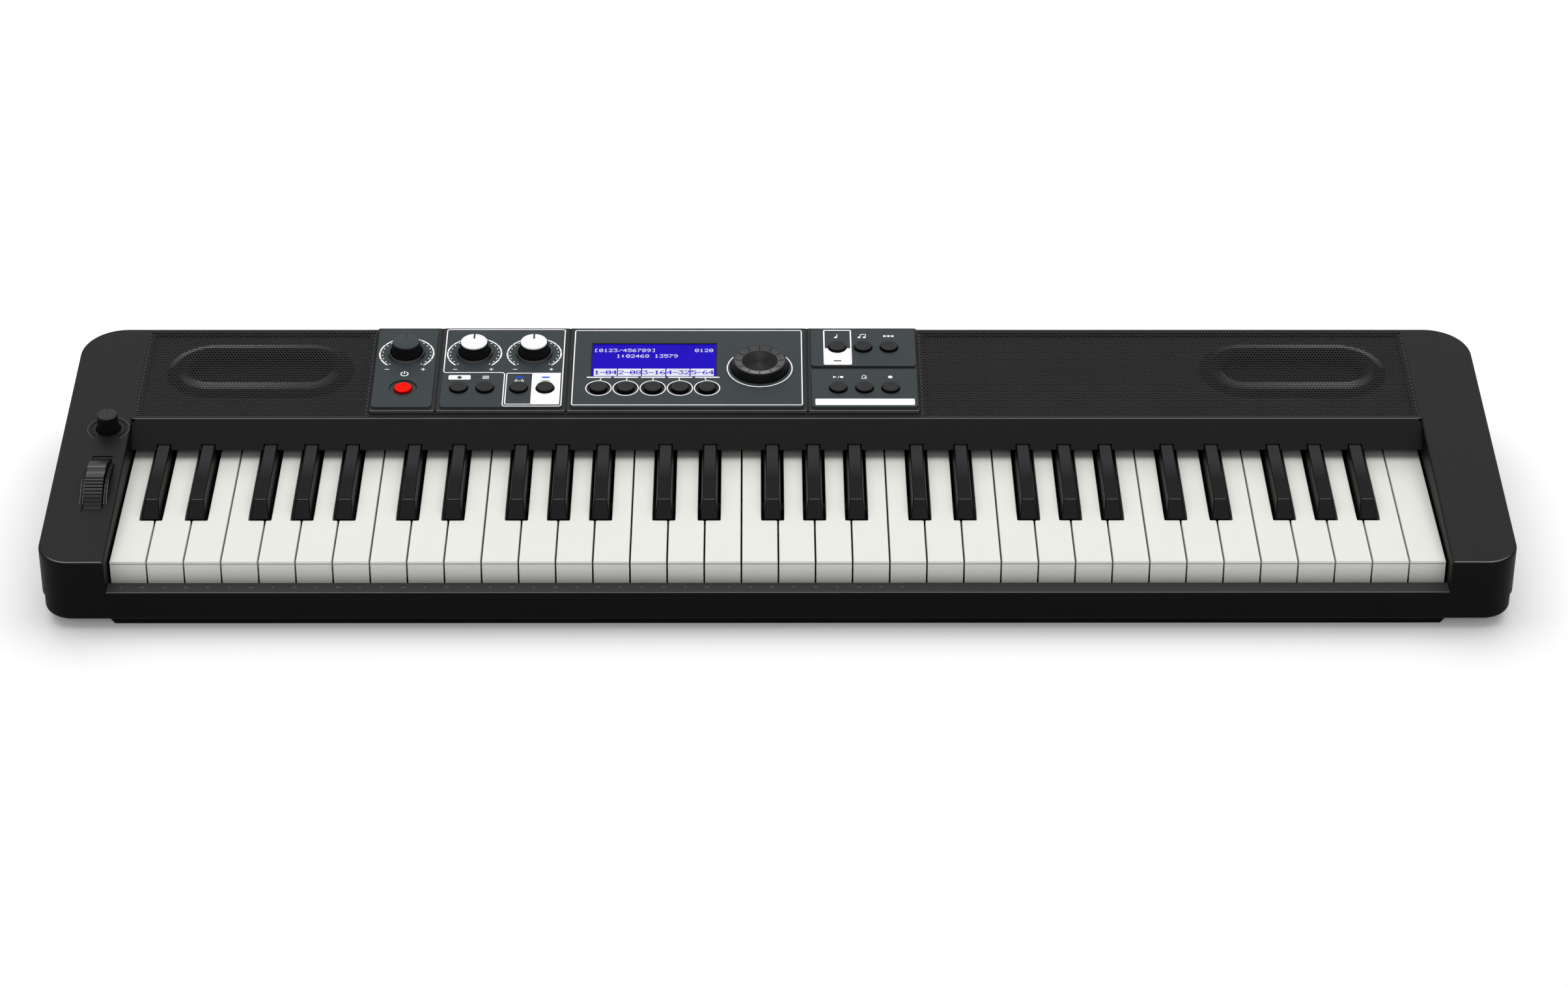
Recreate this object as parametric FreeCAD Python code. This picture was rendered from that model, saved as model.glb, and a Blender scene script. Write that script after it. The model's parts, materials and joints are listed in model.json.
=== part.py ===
import FreeCAD, Part
import math
import os

# An arranger keyboard with 61 keys, built from the pieces that it comes apart into on a bench.
# Lengths are millimetres. +X runs to the treble end, +Y to the rear and +Z up.
# The origin is on the floor, under the middle of the case.

# Case
overall_width = 930.0
overall_depth = 258.0
front_height = 50.0
top_slope = 4.9
end_block_width = 43.0
panel_depth = 103.9
seam_height = 20.0
seam_gap = 0.4
case_wall = 2.6
front_corner_radius = 20.0
rear_corner_radius = 29.0
top_edge_radius = 1.6
well_edge_radius = 1.8
lip_height = 27.8
lip_depth = 11.4
lip_edge_radius = 0.8
fascia_edge_radius = 1.0
fascia_run = 11.6
fascia_clearance = 1.0
lower_inset = 1.1
lower_bottom = 6.0
lower_edge_radius = 4.0
tongue_wall = 1.4
tongue_rise = 2.8
tongue_root = 4.0
base_bottom = 0.8
base_side_inset = 46.0
base_end_run = 5.0
base_front_inset = 6.5
base_rear_inset = 25.0
overrun = 6.0
part_gap = 0.3
running_clearance = 0.3

# Feet and fasteners
foot_radius = 5.5
foot_side_inset = 17.0
foot_front_inset = 18.0
foot_rear_inset = 40.0
foot_edge_radius = 1.0
boss_radius = 4.5
boss_side_inset = 19.0
boss_front_inset = 34.0
boss_rear_inset = 17.0
boss_speaker_gap = 9.0
boss_panel_gap = 6.2
screw_radius = 1.5
screw_head_radius = 3.1
screw_head_height = 2.2
screw_length = 14.0
screw_hole_clearance = 0.3
screw_recess = 4.4

# Keys
octave_count = 5
key_gap = 1.1
key_side_clearance = 0.8
key_front_gap = 3.6
key_rear_reach = 8.4
white_top = 41.4
white_head_length = 48.9
white_front_drop = 18.9
white_side_drop = 14.4
white_overhang = 0.4
white_overhang_height = 1.5
white_corner_radius = 0.9
white_edge_radius = 0.5
key_wall = 1.6
key_top_wall = 2.0
key_dip = 9.6
black_rise = 8.4
black_front_gap = 1.7
black_front_run = 10.5
black_base_width = 11.2
black_top_width = 8.4
black_drop = 4.6
black_rear_overlap = 1.1
black_edge_radius = 0.9
black_dip = 6.6
slot_clearance = 1.73
black_centre_shares = {1: 0.1255, 3: 0.3025, 6: 0.5504, 8: 0.7143, 10: 0.8785}
white_notes = (0, 2, 4, 5, 7, 9, 11)

# Key hinges
hinge_reach = 53.0
hinge_drop = 11.9
hinge_step_back = 7.0
hinge_step_up = 4.5
hinge_bar_radius = 2.0
hinge_bar_gap = 0.2
neck_thickness = 3.0
white_neck_width = 8.0
black_neck_width = 6.0
hinge_plate_thickness = 2.0
hinge_plate_margin = 5.0

# Keybed
chassis_floor = 1.8
chassis_front_gap = 7.0
chassis_rear_margin = 6.0
felt_thickness = 2.0
felt_depth = 8.0
guide_post_size = 5.0
guide_post_setback = 16.0
guide_post_clearance = 3.6
actuator_share = 0.42
actuator_width = 3.0
actuator_depth = 6.0
actuator_play = 0.6
contact_board_depth = 36.0
contact_board_thickness = 1.6
contact_board_height = 14.4
contact_strip_depth = 14.0
contact_strip_thickness = 1.2
contact_dome_radius = 2.6
contact_dome_height = 2.0
pedestal_width = 10.0
pedestal_count = 8
floor_rib_width = 3.0
floor_rib_count = 7

# Control panel: plates stand side by side, from the bass end, on one moulded base
volume_plate_width = 39.6
effects_plate_width = 80.4
tone_plate_width = 69.8
plate_gap = 5.3
plate_setback = 8.0
plate_row_gap = 3.5
plate_thickness = 1.6
plate_corner_radius = 2.6
plate_edge_radius = 0.4
base_rise = 2.0
base_drop = 3.0
base_margin = 1.2
base_front_margin = 2.3
base_rear_margin = 3.4
base_rear_gap = 2.2
base_rim = 4.0
base_groove_width = 1.6
base_edge_radius = 0.5
base_fit = 0.5
standoff_radius = 3.0
board_depth_below = 10.0
board_thickness = 1.6
board_margin = 4.0

# Buttons and their switches
button_radius = 5.7
button_rise = 1.8
button_edge_radius = 0.5
button_clearance = 0.35
button_flange = 1.2
button_flange_thickness = 1.1
button_travel = 1.0
button_stem_radius = 1.75
button_stem_entry = 0.8
switch_size = 6.0
switch_height = 3.4
switch_bore_margin = 0.8
collar_wall = 1.0
collar_drop = 0.9
power_collar_wall = 3.0
button_row_front = 21.4

# Rotary controls
knob_height = 10.0
knob_base_radius = 9.9
knob_taper = 0.8
knob_flute_count = 44
knob_flute_depth = 0.35
knob_cap_thickness = 0.7
knob_cap_inset = 0.5
knob_pointer_width = 1.2
knob_pointer_depth = 0.35
knob_pointer_share = 0.33
knob_collar_gap = 0.7
knob_collar_wall = 1.2
knob_turn = 140.0
knob_row_rear = 29.1
shaft_radius = 3.0
pot_size = 11.0
pot_height = 5.0
shaft_end_gap = 0.6
dial_base_radius = 19.0
dial_taper = 0.7
dial_height = 6.1
dial_dish_inset = 6.1
dial_dish_depth = 0.6
dial_mark_count = 12
dial_mark_width = 1.3
dial_mark_length = 3.2
dial_mark_inset = 1.1
dial_edge_radius = 0.6
dial_collar_gap = 0.7
dial_front = 45.7
dial_side_gap = 9.5
dial_end_gap = 9.9

# Display
display_width = 83.6
display_from_left = 12.4
display_front = 34.8
display_rear_margin = 16.7
lens_thickness = 1.6
lens_recess = 0.3
lens_clearance = 0.15
lcd_margin = 3.6
lcd_fit = 0.4
display_button_count = 5
display_button_pitch = 17.9
display_button_from_left = 18.1

# Other places on the plates, from each plate's own left edge
effects_knob_from_left = 20.1
effects_knob_pitch = 39.8
home_button_from_left = 11.6
menu_button_from_left = 28.9
surround_button_from_left = 51.2
dsp_button_from_left = 68.6
tone_button_from_left = 17.6
tone_button_pitch = 17.3
tone_button_front = 21.6
led_width = 5.4
led_depth = 1.5
led_share = 0.3
led_fit = 0.1

# Speakers
grille_thickness = 0.8
grille_drop = 0.1
grille_fit = 0.3
grille_ledge = 3.0
grille_rear_margin = 1.6
grille_front_margin = 1.6
grille_side_margin = 0.8
grille_corner_radius = 3.0
baffle_drop = 5.0
baffle_thickness = 2.4
horn_width = 117.0
horn_depth = 57.0
horn_taper = 5.5
horn_end_margin = 19.2
horn_panel_margin = 16.4
horn_rear_margin = 10.2
driver_flange = 4.0
driver_flange_thickness = 2.0
driver_depth = 9.0
magnet_radius = 17.0
magnet_height = 6.0
cone_wall = 1.2

# Pitch wheel and the knob beside it
bender_from_well = 14.0
wheel_centre = 83.6
wheel_radius = 36.0
wheel_rise = 10.3
wheel_width = 11.6
wheel_side_gap = 0.75
wheel_end_gap = 2.5
wheel_turn = 30.0
wheel_sector_margin = 45.0
wheel_rib_count = 62
wheel_rib_depth = 0.7
wheel_rim = 5.0
wheel_dent_radius = 7.0
wheel_dent_depth = 1.4
wheel_hub_radius = 7.0
axle_radius = 2.5
cheek_width = 2.0
cheek_length = 44.0
cheek_rise = 6.2
bracket_wall = 2.0
bracket_gap = 1.2
bracket_length = 30.0
bracket_top_margin = 6.0
modulation_gap = 30.2
modulation_height = 11.5
modulation_base_radius = 7.4
modulation_taper = 0.8
modulation_hole_gap = 0.8
modulation_ring_gap = 4.2
modulation_ring_width = 0.7
modulation_ring_depth = 0.5
modulation_pot_depth = 14.0
pedestal_size = 12.0

# Rear sockets, from the bass side of their panel: the power inlet, the jacks and two data ports
socket_from_panel = 70.0
socket_panel_top = 46.0
socket_height = 33.0
socket_count = 3
socket_pitch = 24.0
socket_bore_radius = 3.25
socket_bore_length = 14.0
socket_body_size = 15.0
socket_end_wall = 2.0
socket_nose_wall = 1.2
socket_port_clearance = 1.4
inlet_end_gap = 16.0
inlet_radius = 2.8
inlet_pin_radius = 1.0
inlet_body_size = 11.0
inlet_depth = 10.0
usb_count = 2
usb_pitch = 26.0
usb_end_gap = 18.0
usb_width = 13.0
usb_height = 6.0
usb_depth = 12.0
usb_wall = 1.0
usb_tongue_share = 0.3
socket_board_thickness = 1.6
socket_board_margin = 6.0
socket_post_radius = 3.0

# Values worked out from the sizes above: the case and the keys
half_width = overall_width / 2
half_depth = overall_depth / 2
front_y = -half_depth
slope = math.radians(top_slope)
top_length = overall_depth / math.cos(slope)
fascia_setback = top_length - panel_depth
tall = overall_depth
panel_frame = FreeCAD.Placement(
    FreeCAD.Vector(0, front_y, front_height), FreeCAD.Rotation(FreeCAD.Vector(1, 0, 0), top_slope)
)
base_half_width = half_width - base_side_inset
boss_bottom = seam_height - seam_gap
lower_floor = lower_bottom + case_wall
white_count = octave_count * len(white_notes) + 1
well_half = half_width - end_block_width
wall_half = well_half + case_wall
keys_left = key_side_clearance - well_half
white_pitch = -2 * keys_left / white_count
octave_pitch = white_pitch * len(white_notes)
lip_rear_y = front_y + lip_depth
fascia_y = front_y + fascia_setback * math.cos(slope)
fascia_z = front_height + fascia_setback * math.sin(slope)
fascia_bottom_y = fascia_y - fascia_run
white_front_y = lip_rear_y + key_front_gap
white_rear_y = fascia_bottom_y + key_rear_reach
notch_y = white_front_y + white_head_length
black_front_y = notch_y + black_front_gap
black_slope_y = black_front_y + black_front_run
black_rear_y = white_rear_y + black_rear_overlap
black_top = white_top + black_rise
slot_width = black_base_width + 2 * slot_clearance
fascia_bottom_z = black_top + fascia_clearance
chassis_top = lower_floor + chassis_floor
contact_board_top = contact_board_height + contact_board_thickness
actuator_y = black_slope_y + actuator_share * (black_rear_y - black_slope_y)
contact_top = contact_board_top + contact_strip_thickness + contact_dome_height

# The same for the speakers and the panel
speaker_x = well_half - grille_side_margin - horn_end_margin - horn_width / 2
speaker_centre = top_length - top_edge_radius - grille_rear_margin - horn_rear_margin - horn_depth / 2
speaker_inner = speaker_x - horn_width / 2 - driver_flange
base_left = -speaker_x + horn_width / 2 + horn_panel_margin + grille_side_margin
panel_left = base_left + base_margin
display_plate_width = display_from_left + display_width + dial_side_gap + 2 * dial_base_radius + dial_end_gap
effects_left = panel_left + volume_plate_width + plate_gap
display_left = effects_left + effects_plate_width + plate_gap
tone_left = display_left + display_plate_width + plate_gap
panel_right = tone_left + tone_plate_width
base_right = panel_right + base_margin
plate_top = base_rise + plate_thickness
plate_depth = panel_depth - plate_setback - base_rear_margin - base_rear_gap
plate_front = fascia_setback + plate_setback
plate_rear = plate_front + plate_depth
tone_plate_depth = (plate_depth - plate_row_gap) / 2
display_depth = plate_depth - display_front - display_rear_margin
button_row = plate_front + button_row_front
knob_row = plate_rear - knob_row_rear
base_front = plate_front - base_front_margin
base_rear = plate_rear + base_rear_margin
board_top = -board_depth_below
board_bottom = board_top - board_thickness
switch_bore_depth = button_stem_entry + button_travel + switch_bore_margin
knob_top_radius = knob_base_radius - knob_taper
knob_collar_radius = knob_base_radius + knob_collar_gap + knob_collar_wall
dial_top_radius = dial_base_radius - dial_taper

# The same for the pitch wheel, the knob beside it and the sockets
bender_x = -well_half - bender_from_well
wheel_slot_width = wheel_width + 2 * wheel_side_gap
wheel_axis_drop = wheel_radius - wheel_rise
wheel_slot_half = math.sqrt(wheel_radius**2 - (wheel_axis_drop - case_wall) ** 2) + wheel_end_gap
modulation_centre = wheel_centre + wheel_slot_half + modulation_gap
modulation_top_radius = modulation_base_radius - modulation_taper
modulation_ring_radius = modulation_base_radius + modulation_ring_gap
socket_left = base_left + socket_from_panel
usb_from_left = inlet_end_gap + (socket_count + 1) * socket_pitch
socket_panel_width = usb_from_left + (usb_count - 1) * usb_pitch + usb_end_gap
rear_wall_y = half_depth - case_wall
socket_board_z = socket_height - socket_body_size / 2


def vec(x, y, z):
    return FreeCAD.Vector(x, y, z)


def box(x0, x1, y0, y1, z0, z1):
    return Part.makeBox(x1 - x0, y1 - y0, z1 - z0, vec(x0, y0, z0))


def rod(radius, x, y, z0, z1):
    return Part.makeCylinder(radius, z1 - z0, vec(x, y, z0), vec(0, 0, 1))


def cross_rod(radius, x0, x1, y, z):
    return Part.makeCylinder(radius, x1 - x0, vec(x0, y, z), vec(1, 0, 0))


def cone(radius0, radius1, x, y, z0, z1):
    return Part.makeCone(radius0, radius1, z1 - z0, vec(x, y, z0), vec(0, 0, 1))


def on_panel(shape):
    moved = shape.copy()
    moved.Placement = panel_frame.multiply(moved.Placement)
    return moved


def panel_y(s, h):
    return front_y + s * math.cos(slope) - h * math.sin(slope)


def panel_z(s, h):
    return front_height + s * math.sin(slope) + h * math.cos(slope)


def panel_rise(point):
    return -(point.y - front_y) * math.sin(slope) + (point.z - front_height) * math.cos(slope)


# A closed outline through corners (a, b, radius), with a tangent arc at each corner that has a radius
def rounded_wire(corners, to_point):
    stops = []
    for i, (a, b, radius) in enumerate(corners):
        here = vec(a, b, 0)
        back = vec(*corners[i - 1][:2], 0) - here
        ahead = vec(*corners[(i + 1) % len(corners)][:2], 0) - here
        if radius <= 0:
            stops.append((here, None, here))
            continue
        back.normalize()
        ahead.normalize()
        half = back.getAngle(ahead) / 2
        inward = back + ahead
        inward.normalize()
        reach = radius / math.tan(half)
        middle = here + inward * (radius / math.sin(half) - radius)
        stops.append((here + back * reach, middle, here + ahead * reach))
    edges = []
    for i, (start, middle, end) in enumerate(stops):
        before = stops[i - 1][2]
        if (start - before).Length > Part.Precision.confusion():
            edges.append(Part.makeLine(to_point(before), to_point(start)))
        if middle is not None:
            edges.append(Part.Arc(to_point(start), to_point(middle), to_point(end)).toShape())
    return Part.Wire(Part.__sortEdges__(edges))


def flat_outline(corners, z):
    return Part.Face(rounded_wire(corners, lambda p: vec(p.x, p.y, z)))


def side_outline(corners, x):
    return Part.Face(rounded_wire(corners, lambda p: vec(x, p.x, p.y)))


def slab(corners, z0, z1):
    return flat_outline(corners, z0).extrude(vec(0, 0, z1 - z0))


def bar_across(corners, x0, x1):
    return side_outline(corners, x0).extrude(vec(x1 - x0, 0, 0))


def rectangle(x0, x1, y0, y1, radius):
    return [(x0, y0, radius), (x1, y0, radius), (x1, y1, radius), (x0, y1, radius)]


def case_outline(inset):
    front = front_corner_radius - inset
    rear = rear_corner_radius - inset
    x = half_width - inset
    y = half_depth - inset
    return [(-x, -y, front), (x, -y, front), (x, y, rear), (-x, y, rear)]


def fuse(shapes):
    return shapes[0].multiFuse(shapes[1:]).removeSplitter()


def edges_where(shape, test):
    found = []
    for edge in shape.Edges:
        ends = [edge.valueAt(edge.FirstParameter), edge.valueAt(edge.LastParameter)]
        middle = edge.valueAt((edge.FirstParameter + edge.LastParameter) / 2)
        if all(test(p) for p in ends + [middle]):
            found.append(edge)
    return found


def near(a, b):
    return abs(a - b) < part_gap / 10


# The case block, from a height up to a plane that lies a depth under the sloping top
def case_block(inset, depth, bottom):
    prism = slab(case_outline(inset), bottom, bottom + tall)
    above = on_panel(box(-overall_width, overall_width, -overall_depth, 2 * overall_depth, -depth, tall))
    return prism.cut(above)


# Side view of the space that the keys stand in: over the lip, under the fascia and out through the top
def key_well_profile():
    past_y = panel_y(fascia_setback + overrun, 0)
    past_z = panel_z(fascia_setback + overrun, 0)
    below = seam_height - overrun
    lip_side = lip_height - 2 * lip_edge_radius
    return [
        (front_y - overrun, lip_side, 0),
        (front_y, lip_side, 0),
        (front_y, lip_height, lip_edge_radius),
        (lip_rear_y, lip_height, 0),
        (lip_rear_y, below, 0),
        (fascia_bottom_y, below, 0),
        (fascia_bottom_y, fascia_bottom_z, 0),
        (fascia_y, fascia_z, fascia_edge_radius),
        (past_y, past_z, 0),
        (past_y, tall, 0),
        (front_y - overrun, tall, 0),
    ]


def boss_places():
    side_x = half_width - boss_side_inset
    inner_x = speaker_inner - boss_speaker_gap
    rear_y = half_depth - boss_rear_inset
    corners = [(x, y) for x in (-side_x, side_x) for y in (front_y + boss_front_inset, rear_y)]
    return corners + [(x, rear_y) for x in (-inner_x, base_right + boss_panel_gap, inner_x)]


def grille_bounds(side):
    outer = well_half - grille_side_margin
    front = fascia_setback + grille_front_margin
    rear = top_length - grille_rear_margin - top_edge_radius
    if side < 0:
        return -outer, base_left - grille_side_margin, front, rear
    return base_right + grille_side_margin, outer, front, rear


def stadium(x, s, width, depth):
    return rectangle(x - width / 2, x + width / 2, s - depth / 2, s + depth / 2, depth / 2 - part_gap)


def taper(outer, inner, top, bottom):
    upper = rounded_wire(outer, lambda p: vec(p.x, p.y, top))
    lower = rounded_wire(inner, lambda p: vec(p.x, p.y, bottom))
    return Part.makeLoft([upper, lower], True, True)


# What is taken off the well's long top edge to round it
def well_edge(side):
    r = well_edge_radius
    x0, x1 = sorted((side * (well_half - r), side * (well_half + r)))
    corner = box(x0, x1, -overrun, fascia_setback, -r, overrun)
    middle = vec(side * (well_half + r), -overrun, -r)
    return corner.cut(Part.makeCylinder(r, fascia_setback + overrun, middle, vec(0, 1, 0)))


# What stays solid inside the upper case: the lip, the fascia, the well's walls, the trays and the bosses
def upper_case_walls():
    walls = [box(-wall_half, wall_half, front_y, lip_rear_y, lip_height - case_wall, lip_height)]
    fascia = [
        (fascia_bottom_y, fascia_bottom_z, 0),
        (fascia_bottom_y + 2 * case_wall, fascia_bottom_z, 0),
        (fascia_y + 2 * case_wall, fascia_z, 0),
        (fascia_y, fascia_z, 0),
    ]
    walls.append(bar_across(fascia, -wall_half, wall_half))
    tray_floor = -baffle_drop - baffle_thickness
    for side in (-1, 1):
        x0, x1 = sorted((side * well_half, side * wall_half))
        walls.append(box(x0, x1, front_y, fascia_y + case_wall, seam_height, tall))
        x0, x1, s0, s1 = grille_bounds(side)
        wall = case_wall
        walls.append(on_panel(box(x0 - wall, x1 + wall, s0 - wall, s1 + wall, tray_floor, overrun)))
    for x, y in boss_places():
        walls.append(rod(boss_radius, x, y, boss_bottom - overrun, tall))
    return walls


# Cuts for one speaker: the seat of its grille, the pit under it and the speaker's mouth
def speaker_cuts(side):
    x0, x1, s0, s1 = grille_bounds(side)
    ledge = grille_ledge
    seat = rectangle(x0, x1, s0, s1, grille_corner_radius)
    pit = rectangle(x0 + ledge, x1 - ledge, s0 + ledge, s1 - ledge, grille_corner_radius)
    x = side * speaker_x
    mouth = stadium(x, speaker_centre, horn_width, horn_depth)
    throat = stadium(x, speaker_centre, horn_width - 2 * horn_taper, horn_depth - 2 * horn_taper)
    return [
        slab(seat, -grille_thickness - grille_drop, overrun),
        slab(pit, -baffle_drop, overrun),
        taper(mouth, throat, -baffle_drop, -baffle_drop - baffle_thickness),
    ]


# Cuts for the control panel, the pitch wheel and the knob beside it
def control_cuts():
    rim = base_rim
    under = -case_wall - overrun
    half = wheel_slot_width / 2
    slot_front = wheel_centre - wheel_slot_half
    slot_rear = wheel_centre + wheel_slot_half
    return [
        box(base_left + rim, base_right - rim, base_front + rim, base_rear - rim, -tall, overrun),
        box(bender_x - half, bender_x + half, slot_front, slot_rear, under, overrun),
        rod(modulation_base_radius + modulation_hole_gap, bender_x, modulation_centre, under, overrun),
        modulation_ring(),
    ]


# The window in the rear wall that the socket panel closes
def socket_window():
    right = socket_left + socket_panel_width
    below = seam_height - overrun
    return box(socket_left, right, rear_wall_y - overrun, half_depth + overrun, below, socket_panel_top)


def make_upper_case():
    block = case_block(0, 0, seam_height)
    block = block.makeFillet(top_edge_radius, edges_where(block, lambda p: near(panel_rise(p), 0)))
    block = block.cut(bar_across(key_well_profile(), -well_half, well_half))
    for side in (-1, 1):
        block = block.cut(on_panel(well_edge(side)))
    hollow = case_block(case_wall, case_wall, seam_height - overrun)
    for wall in upper_case_walls():
        hollow = hollow.cut(wall)
    boss_feet = [rod(boss_radius, x, y, boss_bottom, seam_height) for x, y in boss_places()]
    cheeks = [on_panel(wheel_cheek(side)) for side in (-1, 1)]
    case = fuse([block.cut(hollow)] + boss_feet + cheeks)
    for shape in control_cuts() + speaker_cuts(-1) + speaker_cuts(1):
        case = case.cut(on_panel(shape))
    case = case.cut(socket_window())
    for x, y in boss_places():
        case = case.cut(rod(screw_radius, x, y, boss_bottom - overrun, boss_bottom + screw_length))
    return case


# A low round ridge that guards one side of the pitch wheel
def wheel_cheek(side):
    radius = (cheek_length**2 / 4 + cheek_rise**2) / (2 * cheek_rise)
    x = bender_x + side * (wheel_slot_width / 2 + cheek_width / 2)
    disc = cross_rod(radius, x - cheek_width / 2, x + cheek_width / 2, wheel_centre, cheek_rise - radius)
    keep = box(x - cheek_width, x + cheek_width, 0, overall_depth, -case_wall / 2, 2 * cheek_rise)
    return disc.common(keep)


# The engraved scale round the modulation knob, open towards the player
def modulation_ring():
    outer = rod(modulation_ring_radius, bender_x, modulation_centre, -modulation_ring_depth, overrun)
    inner = rod(
        modulation_ring_radius - modulation_ring_width, bender_x, modulation_centre, -overrun, 2 * overrun
    )
    mouth = modulation_ring_radius * math.sin(math.radians(180 - knob_turn))
    front = modulation_centre - 2 * modulation_ring_radius
    gap = box(bender_x - mouth, bender_x + mouth, front, modulation_centre, -overrun, 2 * overrun)
    return outer.cut(inner).cut(gap)


# The pad under the lower case, with sloping ends
def base_pad(inset, bottom, top):
    x = base_half_width - inset
    ends = [(-x, bottom, 0), (x, bottom, 0), (x + base_end_run, top, 0), (-x - base_end_run, top, 0)]
    face = Part.Face(rounded_wire(ends, lambda p: vec(p.x, front_y + base_front_inset + inset, p.y)))
    return face.extrude(vec(0, overall_depth - base_front_inset - base_rear_inset - 2 * inset, 0))


# The tongue inside the seam, with gaps for the sockets and for the end walls of the key well
def seam_tongue():
    bottom = boss_bottom - tongue_root
    top = boss_bottom + tongue_rise
    below = bottom - overrun
    above = top + overrun
    outset = case_wall + part_gap
    ring = slab(case_outline(outset), bottom, top)
    ring = ring.cut(slab(case_outline(outset + tongue_wall), below, above))
    gap = part_gap
    socket_right = socket_left + socket_panel_width
    ring = ring.cut(box(socket_left - gap, socket_right + gap, 0, half_depth, below, above))
    for side in (-1, 1):
        x0, x1 = sorted((side * (well_half - gap), side * (wall_half + gap)))
        ring = ring.cut(box(x0, x1, front_y, 0, below, above))
    return ring


# What stands in the lower case: ribs under the keybed, and posts for the screws and the sockets
def lower_case_posts():
    rib_front = front_y + base_front_inset + case_wall / 2
    rib_rear = half_depth - base_rear_inset - case_wall / 2
    span = 2 * (base_half_width - 2 * base_end_run)
    half = floor_rib_width / 2
    posts = []
    for i in range(floor_rib_count):
        x = span * i / (floor_rib_count - 1) - span / 2
        posts.append(box(x - half, x + half, rib_front, rib_rear, base_bottom, lower_floor))
    for x, y in boss_places():
        posts.append(rod(boss_radius, x, y, lower_bottom, boss_bottom))
    for x, y in socket_post_places():
        posts.append(rod(socket_post_radius, x, y, lower_bottom, socket_board_z - socket_board_thickness))
    return posts


def make_lower_case():
    edge = min(lower_edge_radius, (boss_bottom - lower_bottom) / 2)
    inner_edge = max(edge - case_wall, part_gap)
    outer = slab(case_outline(lower_inset), lower_bottom, boss_bottom)
    outer = outer.makeFillet(edge, edges_where(outer, lambda p: near(p.z, lower_bottom)))
    outer = fuse([outer, base_pad(0, base_bottom, lower_bottom + case_wall / 2)])
    inner = slab(case_outline(lower_inset + case_wall), lower_floor, boss_bottom + overrun)
    inner = inner.makeFillet(inner_edge, edges_where(inner, lambda p: near(p.z, lower_floor)))
    inner = fuse([inner, base_pad(case_wall, base_bottom + case_wall, lower_floor + case_wall / 2)])
    tray = fuse([outer.cut(inner), seam_tongue()] + lower_case_posts())
    for x, y in boss_places():
        tray = tray.cut(rod(screw_radius + screw_hole_clearance, x, y, 0, tall))
        tray = tray.cut(rod(screw_head_radius + screw_hole_clearance, x, y, 0, lower_bottom + screw_recess))
    return tray


def foot_places():
    x = half_width - foot_side_inset
    rows = (front_y + foot_front_inset, half_depth - foot_rear_inset)
    return [(side * x, y) for y in rows for side in (-1, 1)]


def make_feet():
    feet = []
    for x, y in foot_places():
        foot = rod(foot_radius, x, y, 0, lower_bottom)
        feet.append(foot.makeFillet(foot_edge_radius, edges_where(foot, lambda p: near(p.z, 0))))
    return Part.makeCompound(feet)


def make_screws():
    screws = []
    for x, y in boss_places():
        seat = lower_bottom + screw_recess
        head = rod(screw_head_radius, x, y, seat - screw_head_height, seat)
        slot = box(
            x - screw_head_radius,
            x + screw_head_radius,
            y - screw_radius / 3,
            y + screw_radius / 3,
            seat - screw_head_height - overrun,
            seat - screw_head_height / 2,
        )
        shank = rod(screw_radius, x, y, seat, boss_bottom + screw_length - part_gap)
        screws.append(head.cut(slot).fuse(shank).removeSplitter())
    return Part.makeCompound(screws)


# Keys. A note is 0 to 11 from C, and an octave starts at keys_left plus its number of octave pitches
def octave_left(octave):
    return keys_left + octave * octave_pitch


def black_centre(octave, note):
    return octave_left(octave) + black_centre_shares[note] * octave_pitch


# Plan of a white key: the full-width head, and the tail between the black keys
def white_plan(octave, note, inset):
    index = white_notes.index(note)
    left = octave_left(octave) + index * white_pitch + key_gap / 2 + inset
    right = octave_left(octave) + (index + 1) * white_pitch - key_gap / 2 - inset
    front = white_front_y + inset
    rear = white_rear_y - inset
    notch = notch_y - inset
    last = octave == octave_count
    tail_left = left
    tail_right = right
    if note - 1 in black_centre_shares and not last:
        tail_left = black_centre(octave, note - 1) + slot_width / 2 + inset
    if note + 1 in black_centre_shares and not last:
        tail_right = black_centre(octave, note + 1) - slot_width / 2 - inset
    corner = 0 if inset else white_corner_radius
    points = [(left, front, 0), (right, front, 0)]
    if tail_right < right:
        points += [(right, notch, corner), (tail_right, notch, corner)]
    points += [(tail_right, rear, 0), (tail_left, rear, 0)]
    if tail_left > left:
        points += [(tail_left, notch, corner), (left, notch, corner)]
    return points, tail_left, tail_right, left, right


def white_key(octave, note, tier):
    points, tail_left, tail_right, left, right = white_plan(octave, note, 0)
    shell = slab(points, white_top - white_side_drop, white_top)
    shell = shell.makeFillet(white_edge_radius, edges_where(shell, lambda p: near(p.z, white_top)))
    bottom = white_top - white_front_drop
    step = white_top - white_overhang_height
    shell = shell.cut(box(left, right, white_front_y, white_front_y + white_overhang, bottom, step))
    inside = white_plan(octave, note, key_wall)[0]
    shell = shell.cut(slab(inside, bottom, white_top - key_top_wall))
    face_y = white_front_y + white_overhang
    apron = box(left, right, face_y, white_front_y + key_wall, bottom, step)
    middle = (tail_left + tail_right) / 2
    hinge_y, hinge_z = hinge_line(tier)
    neck = box(
        middle - white_neck_width / 2,
        middle + white_neck_width / 2,
        white_rear_y - key_wall,
        hinge_y,
        hinge_z - neck_thickness / 2,
        hinge_z + neck_thickness / 2,
    )
    return [shell, apron, neck, actuator(middle, white_top - key_top_wall, tier)]


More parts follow.
